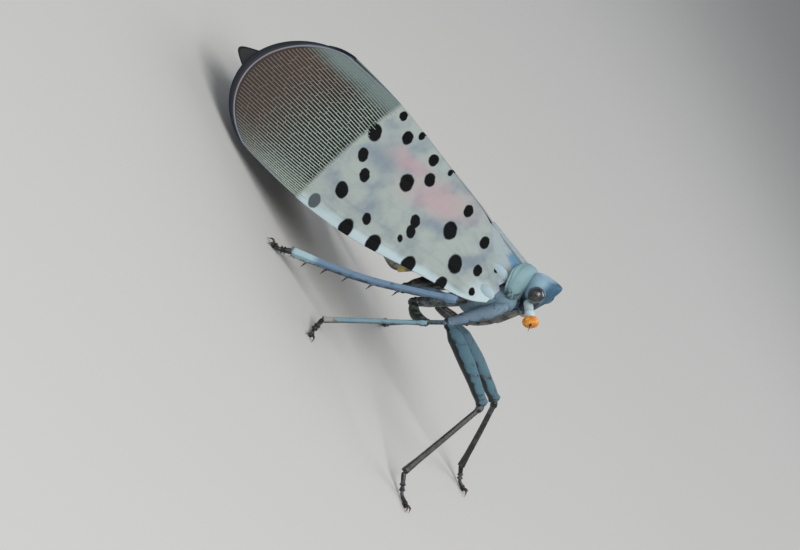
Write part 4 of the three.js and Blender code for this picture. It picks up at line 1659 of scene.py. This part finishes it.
def flattened(angle):
    """The thigh is deeper than wide, with a keel above and below."""
    return 0.86 + 0.14 * math.sin(angle) ** 2 + 0.06 * abs(math.sin(angle)) ** 12


print("a thigh's depth beside its width:", round(flattened(math.pi / 2) / flattened(0), 2))

# %% [markdown]
# All lengths of the legs are waxed cuticle with colours of their own. The far ends of the middle
# and hind shins are paler. On the front leg roots, all thighs and the blue shins the lower sides
# are darkened with painted shade, and their wax is thinned there.

# %% Leg finishes
LEG_RECIPES = {
    # Painted shade darkens the lower sides of the front leg roots, the thighs and the middle and hind
    # shins.
    "front leg root": {
        "skin": (56, 76, 90), "wax": (108, 130, 148), "amount": 0.42, "dark": (28, 36, 44), "underside_shade": 0.3,
    },
    "middle leg root": {
        "skin": (44, 48, 46), "wax": (92, 104, 108), "amount": 0.3, "dark": (24, 24, 22),
    },
    "hind leg root": {
        "skin": (38, 36, 32), "wax": (84, 90, 88), "amount": 0.22, "dark": (22, 19, 16),
    },
    "front thigh": {
        "skin": (24, 42, 50), "wax": (72, 104, 118), "amount": 0.4, "dark": (8, 12, 14), "underside_shade": 0.5,
    },
    "middle thigh": {
        "skin": (34, 42, 36), "wax": (78, 90, 88), "amount": 0.26, "dark": (16, 20, 16), "underside_shade": 0.3,
    },
    "hind thigh": {
        "skin": (34, 48, 62), "wax": (70, 92, 112), "amount": 0.34, "dark": (22, 30, 38), "underside_shade": 0.3,
    },
    "dark shin and foot": {
        "skin": (30, 27, 28), "wax": (74, 76, 80), "amount": 0.2, "dark": (18, 16, 16),
    },
    "middle shin": {
        "skin": (66, 92, 104), "wax": (108, 140, 152), "amount": 0.44, "dark": (44, 58, 66),
        "heel": ((96, 94, 92), (146, 144, 138)), "underside_shade": 0.25,
    },
    "hind shin": {
        "skin": (52, 72, 90), "wax": (98, 124, 146), "amount": 0.44, "dark": (38, 50, 62),
        "heel": ((106, 128, 134), (150, 178, 186)), "underside_shade": 0.25,
    },
}
leg_skins = waxed_skins(LEG_RECIPES)
dark_skin = leg_skins["dark shin and foot"]
SHIN_SKINS = {"front": dark_skin, "middle": leg_skins["middle shin"], "hind": leg_skins["hind shin"]}
claw_skin = horn("claw", 2500.0, (18, 14, 12), (58, 38, 24), 0.28)
print("leg finishes:", ", ".join(leg_skins))

# %% [markdown]
# Five spines arm the lower edge of each hind shin, and a crown of short ones stands at every
# ankle. Each is a cone, narrow and turned along its lean, with its base well sunk.

# %% Spines
SIDE_SPINES = {"at": (0.3, 0.45, 0.6, 0.74, 0.87), "lean": 0.75}
SIDE_SPINE = {"length": 0.8, "thick": 0.11}
SPINE_SOCKET = {"length": 0.5, "thick": 0.22}
CROWN = {"count": 7, "from": 0.12, "turn": 1.8, "lean": 1.3, "thick": 0.06}
CROWN_LENGTH = {True: 0.34, False: 0.2}  # on a hind leg, and on the others


def spine(name, root, lean, skin, length, thick):
    """A cone from the root along lean, both in millimetres."""
    deselect()
    bpy.ops.mesh.primitive_cone_add(vertices=10, radius1=thick, radius2=thick * 0.08, depth=length)
    piece = bpy.context.object
    piece.name = name
    turn = lean.to_track_quat("Z", "Y").to_matrix()
    middle = Vector(root) + lean.normalized() * length * 0.5
    piece.data.transform(Matrix.Translation(metres(middle)) @ (turn * MM).to_4x4())
    piece.data.materials.append(skin)
    return piece


def side_spines(name, knee, ankle, along, downward):
    """The spines of a hind shin, which follow its bow, each in a small blue socket."""
    lean = (downward + along * SIDE_SPINES["lean"]).normalized()
    made = []
    for share in SIDE_SPINES["at"]:
        root = knee.lerp(ankle, share) + Vector((0, 0, 4 * SHIN_BOW["hind"] * share * (1 - share)))
        made.append(spine(f"{name}_side_spine", root, lean, claw_skin, **SIDE_SPINE))
        made.append(spine(f"{name}_spine_socket", root, lean, SHIN_SKINS["hind"], **SPINE_SOCKET))
    return made


def shin_spines(name, knee, ankle, radius, hind):
    along = (ankle - knee).normalized()
    outward = Vector((0, 0, 1)).cross(along).normalized()
    upward = along.cross(outward)
    made = side_spines(name, knee, ankle, along, -upward) if hind else []
    size = {"length": CROWN_LENGTH[hind], "thick": CROWN["thick"]}
    for n in range(CROWN["count"]):
        angle = math.pi * (CROWN["from"] + n / CROWN["count"] * CROWN["turn"])
        out = outward * math.cos(angle) - upward * math.sin(angle)
        lean = (along * CROWN["lean"] + out).normalized()
        root = ankle - along * radius * 0.7 + out * radius * 0.6
        made.append(spine(f"{name}_crown_spine", root, lean, claw_skin, **size))
    return made


print("spines on a hind shin:", len(SIDE_SPINES["at"]) + CROWN["count"])

# %% [markdown]
# A foot has a long first joint, a short second one and a curved third that carries the claws. The
# joints are swollen and narrow again at each neck. Two hooked claws spread from the last one with
# a soft round pad between them, and the underside rests on the floor.

# %% Feet
FOOT_PROFILE = [
    (0, 0.6), (0.06, 0.9), (0.3, 0.8), (0.38, 1.15), (0.41, 0.6), (0.46, 0.8), (0.54, 1.15), (0.57, 0.6),
    (0.64, 0.62), (0.86, 0.7), (0.95, 1.0), (1, 0.6),
]
PAD_PROFILE = [(0, 0.1), (0.5, 0.15), (0.85, 0.13), (1, 0.04)]
CLAW = {"length": 0.62, "spread": math.radians(32), "radius": 0.085, "rise": 0.1, "tip": 0.03}
PAD_REACH = 0.16


def foot(name, ankle, toe, radius):
    flat = Vector((toe.x - ankle.x, toe.y - ankle.y, 0)).normalized()

    def low(share, z):
        place = ankle.lerp(toe, share)
        place.z = z
        return place

    heel_height = ankle.z * 0.45 + radius * 0.62
    heights = [(0.35, heel_height), (0.62, radius * 1.25), (0.86, radius * 1.05), (1, radius)]
    path = [ankle, *(low(share, z) for share, z in heights)]
    joints = limb(f"{name}_foot", path, thickness(FOOT_PROFILE, radius), 16, 60)
    joints.data.materials.append(dark_skin)
    pieces = [joints]
    for side in (-1, 1):
        out = Matrix.Rotation(side * CLAW["spread"], 3, "Z") @ flat
        start = low(0.96, radius)
        bend = start + out * CLAW["length"] * 0.6 + Vector((0, 0, CLAW["rise"]))
        end = start + out * CLAW["length"]
        end.z = CLAW["tip"]
        profile = [(0, CLAW["radius"]), (0.4, CLAW["radius"] * 0.8), (1, 0.01)]
        claw = limb(f"{name}_claw", [start, bend, end], profile, 10, 14)
        claw.data.materials.append(claw_skin)
        pieces.append(claw)
    pad = low(1, radius * 0.75) + flat * PAD_REACH
    cushion = limb(f"{name}_pad", [low(0.97, radius * 0.8), pad], PAD_PROFILE, 12, 10)
    cushion.data.materials.append(dark_skin)
    return [*pieces, cushion]


print("claws on each foot spread by", round(2 * math.degrees(CLAW["spread"])), "degrees")

# %% [markdown]
# Each leg is put together from its lengths, ring, foot and spines, and joined into one piece that
# stands for the four solids of the leg. Every length keeps its own finish.

# %% Legs
ROOT_SUNK = 0.5  # how far a leg's root reaches into the chest
RING_SIZE = 0.66
ROOT_GRID, THIGH_GRID, SHIN_GRID = (28, 50), (28, 70), (30, 90)  # faces round and along


def bowed(start, end, rise):
    """A path from start to end that bows upwards by a little in its middle."""
    return [start, start.lerp(end, 0.5) + Vector((0, 0, rise)), end]


def leg_length(name, path, profile, radius, faces, skin, section=None):
    piece = limb(name, path, thickness(profile, radius), *faces, section)
    piece.data.materials.append(skin)
    return piece


for name, joints in LEGS.items():
    pair = name.split("_")[0]
    root, hip, knee, ankle, toe = (Vector(point) for point in joints)
    root_radius, thigh_radius, shin_radius, foot_radius = LEG_RADII[pair]
    inner = root + (root - hip).normalized() * ROOT_SUNK
    root_skin, thigh_skin = leg_skins[f"{pair} leg root"], leg_skins[f"{pair} thigh"]
    root_path = bowed(inner, hip, 0)
    root_piece = leg_length(f"{name}_root", root_path, ROOT_PROFILE, root_radius, ROOT_GRID, root_skin)
    ring_piece = ball(f"{name}_ring", hip, [RING_SIZE * root_radius] * 3, 24)
    ring_piece.data.materials.append(root_skin)
    thigh = leg_length(
        f"{name}_thigh", bowed(hip, knee, THIGH_BOW[pair]), THIGH_PROFILE, thigh_radius,
        THIGH_GRID, thigh_skin, flattened,
    )
    shin = leg_length(
        f"{name}_shin", bowed(knee, ankle, SHIN_BOW[pair]), SHIN_PROFILE, shin_radius,
        SHIN_GRID, SHIN_SKINS[pair], ridged,
    )
    feet = foot(name, ankle, toe, foot_radius)
    spines = shin_spines(name, knee, ankle, shin_radius, pair == "hind")
    leg = joined(f"{name}_leg", [root_piece, ring_piece, thigh, shin, *feet, *spines])
    finished(leg, None, "leg", *(f"{name}_{part}" for part in ("coxa", "femur", "tibia", "tarsus")))

# %% [markdown]
# One skin for head, collar and chest
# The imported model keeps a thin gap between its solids. Here the plates reach into one another, and
# joining them gives one piece that stands for all the solids of head and chest.

# %% One skin
joined("body_skin", [chest, collar, head_capsule, *small_plates, *eye_rings])
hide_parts("head", "pronotum", "thorax")
print("body skin triangles:", faces_of(chest))
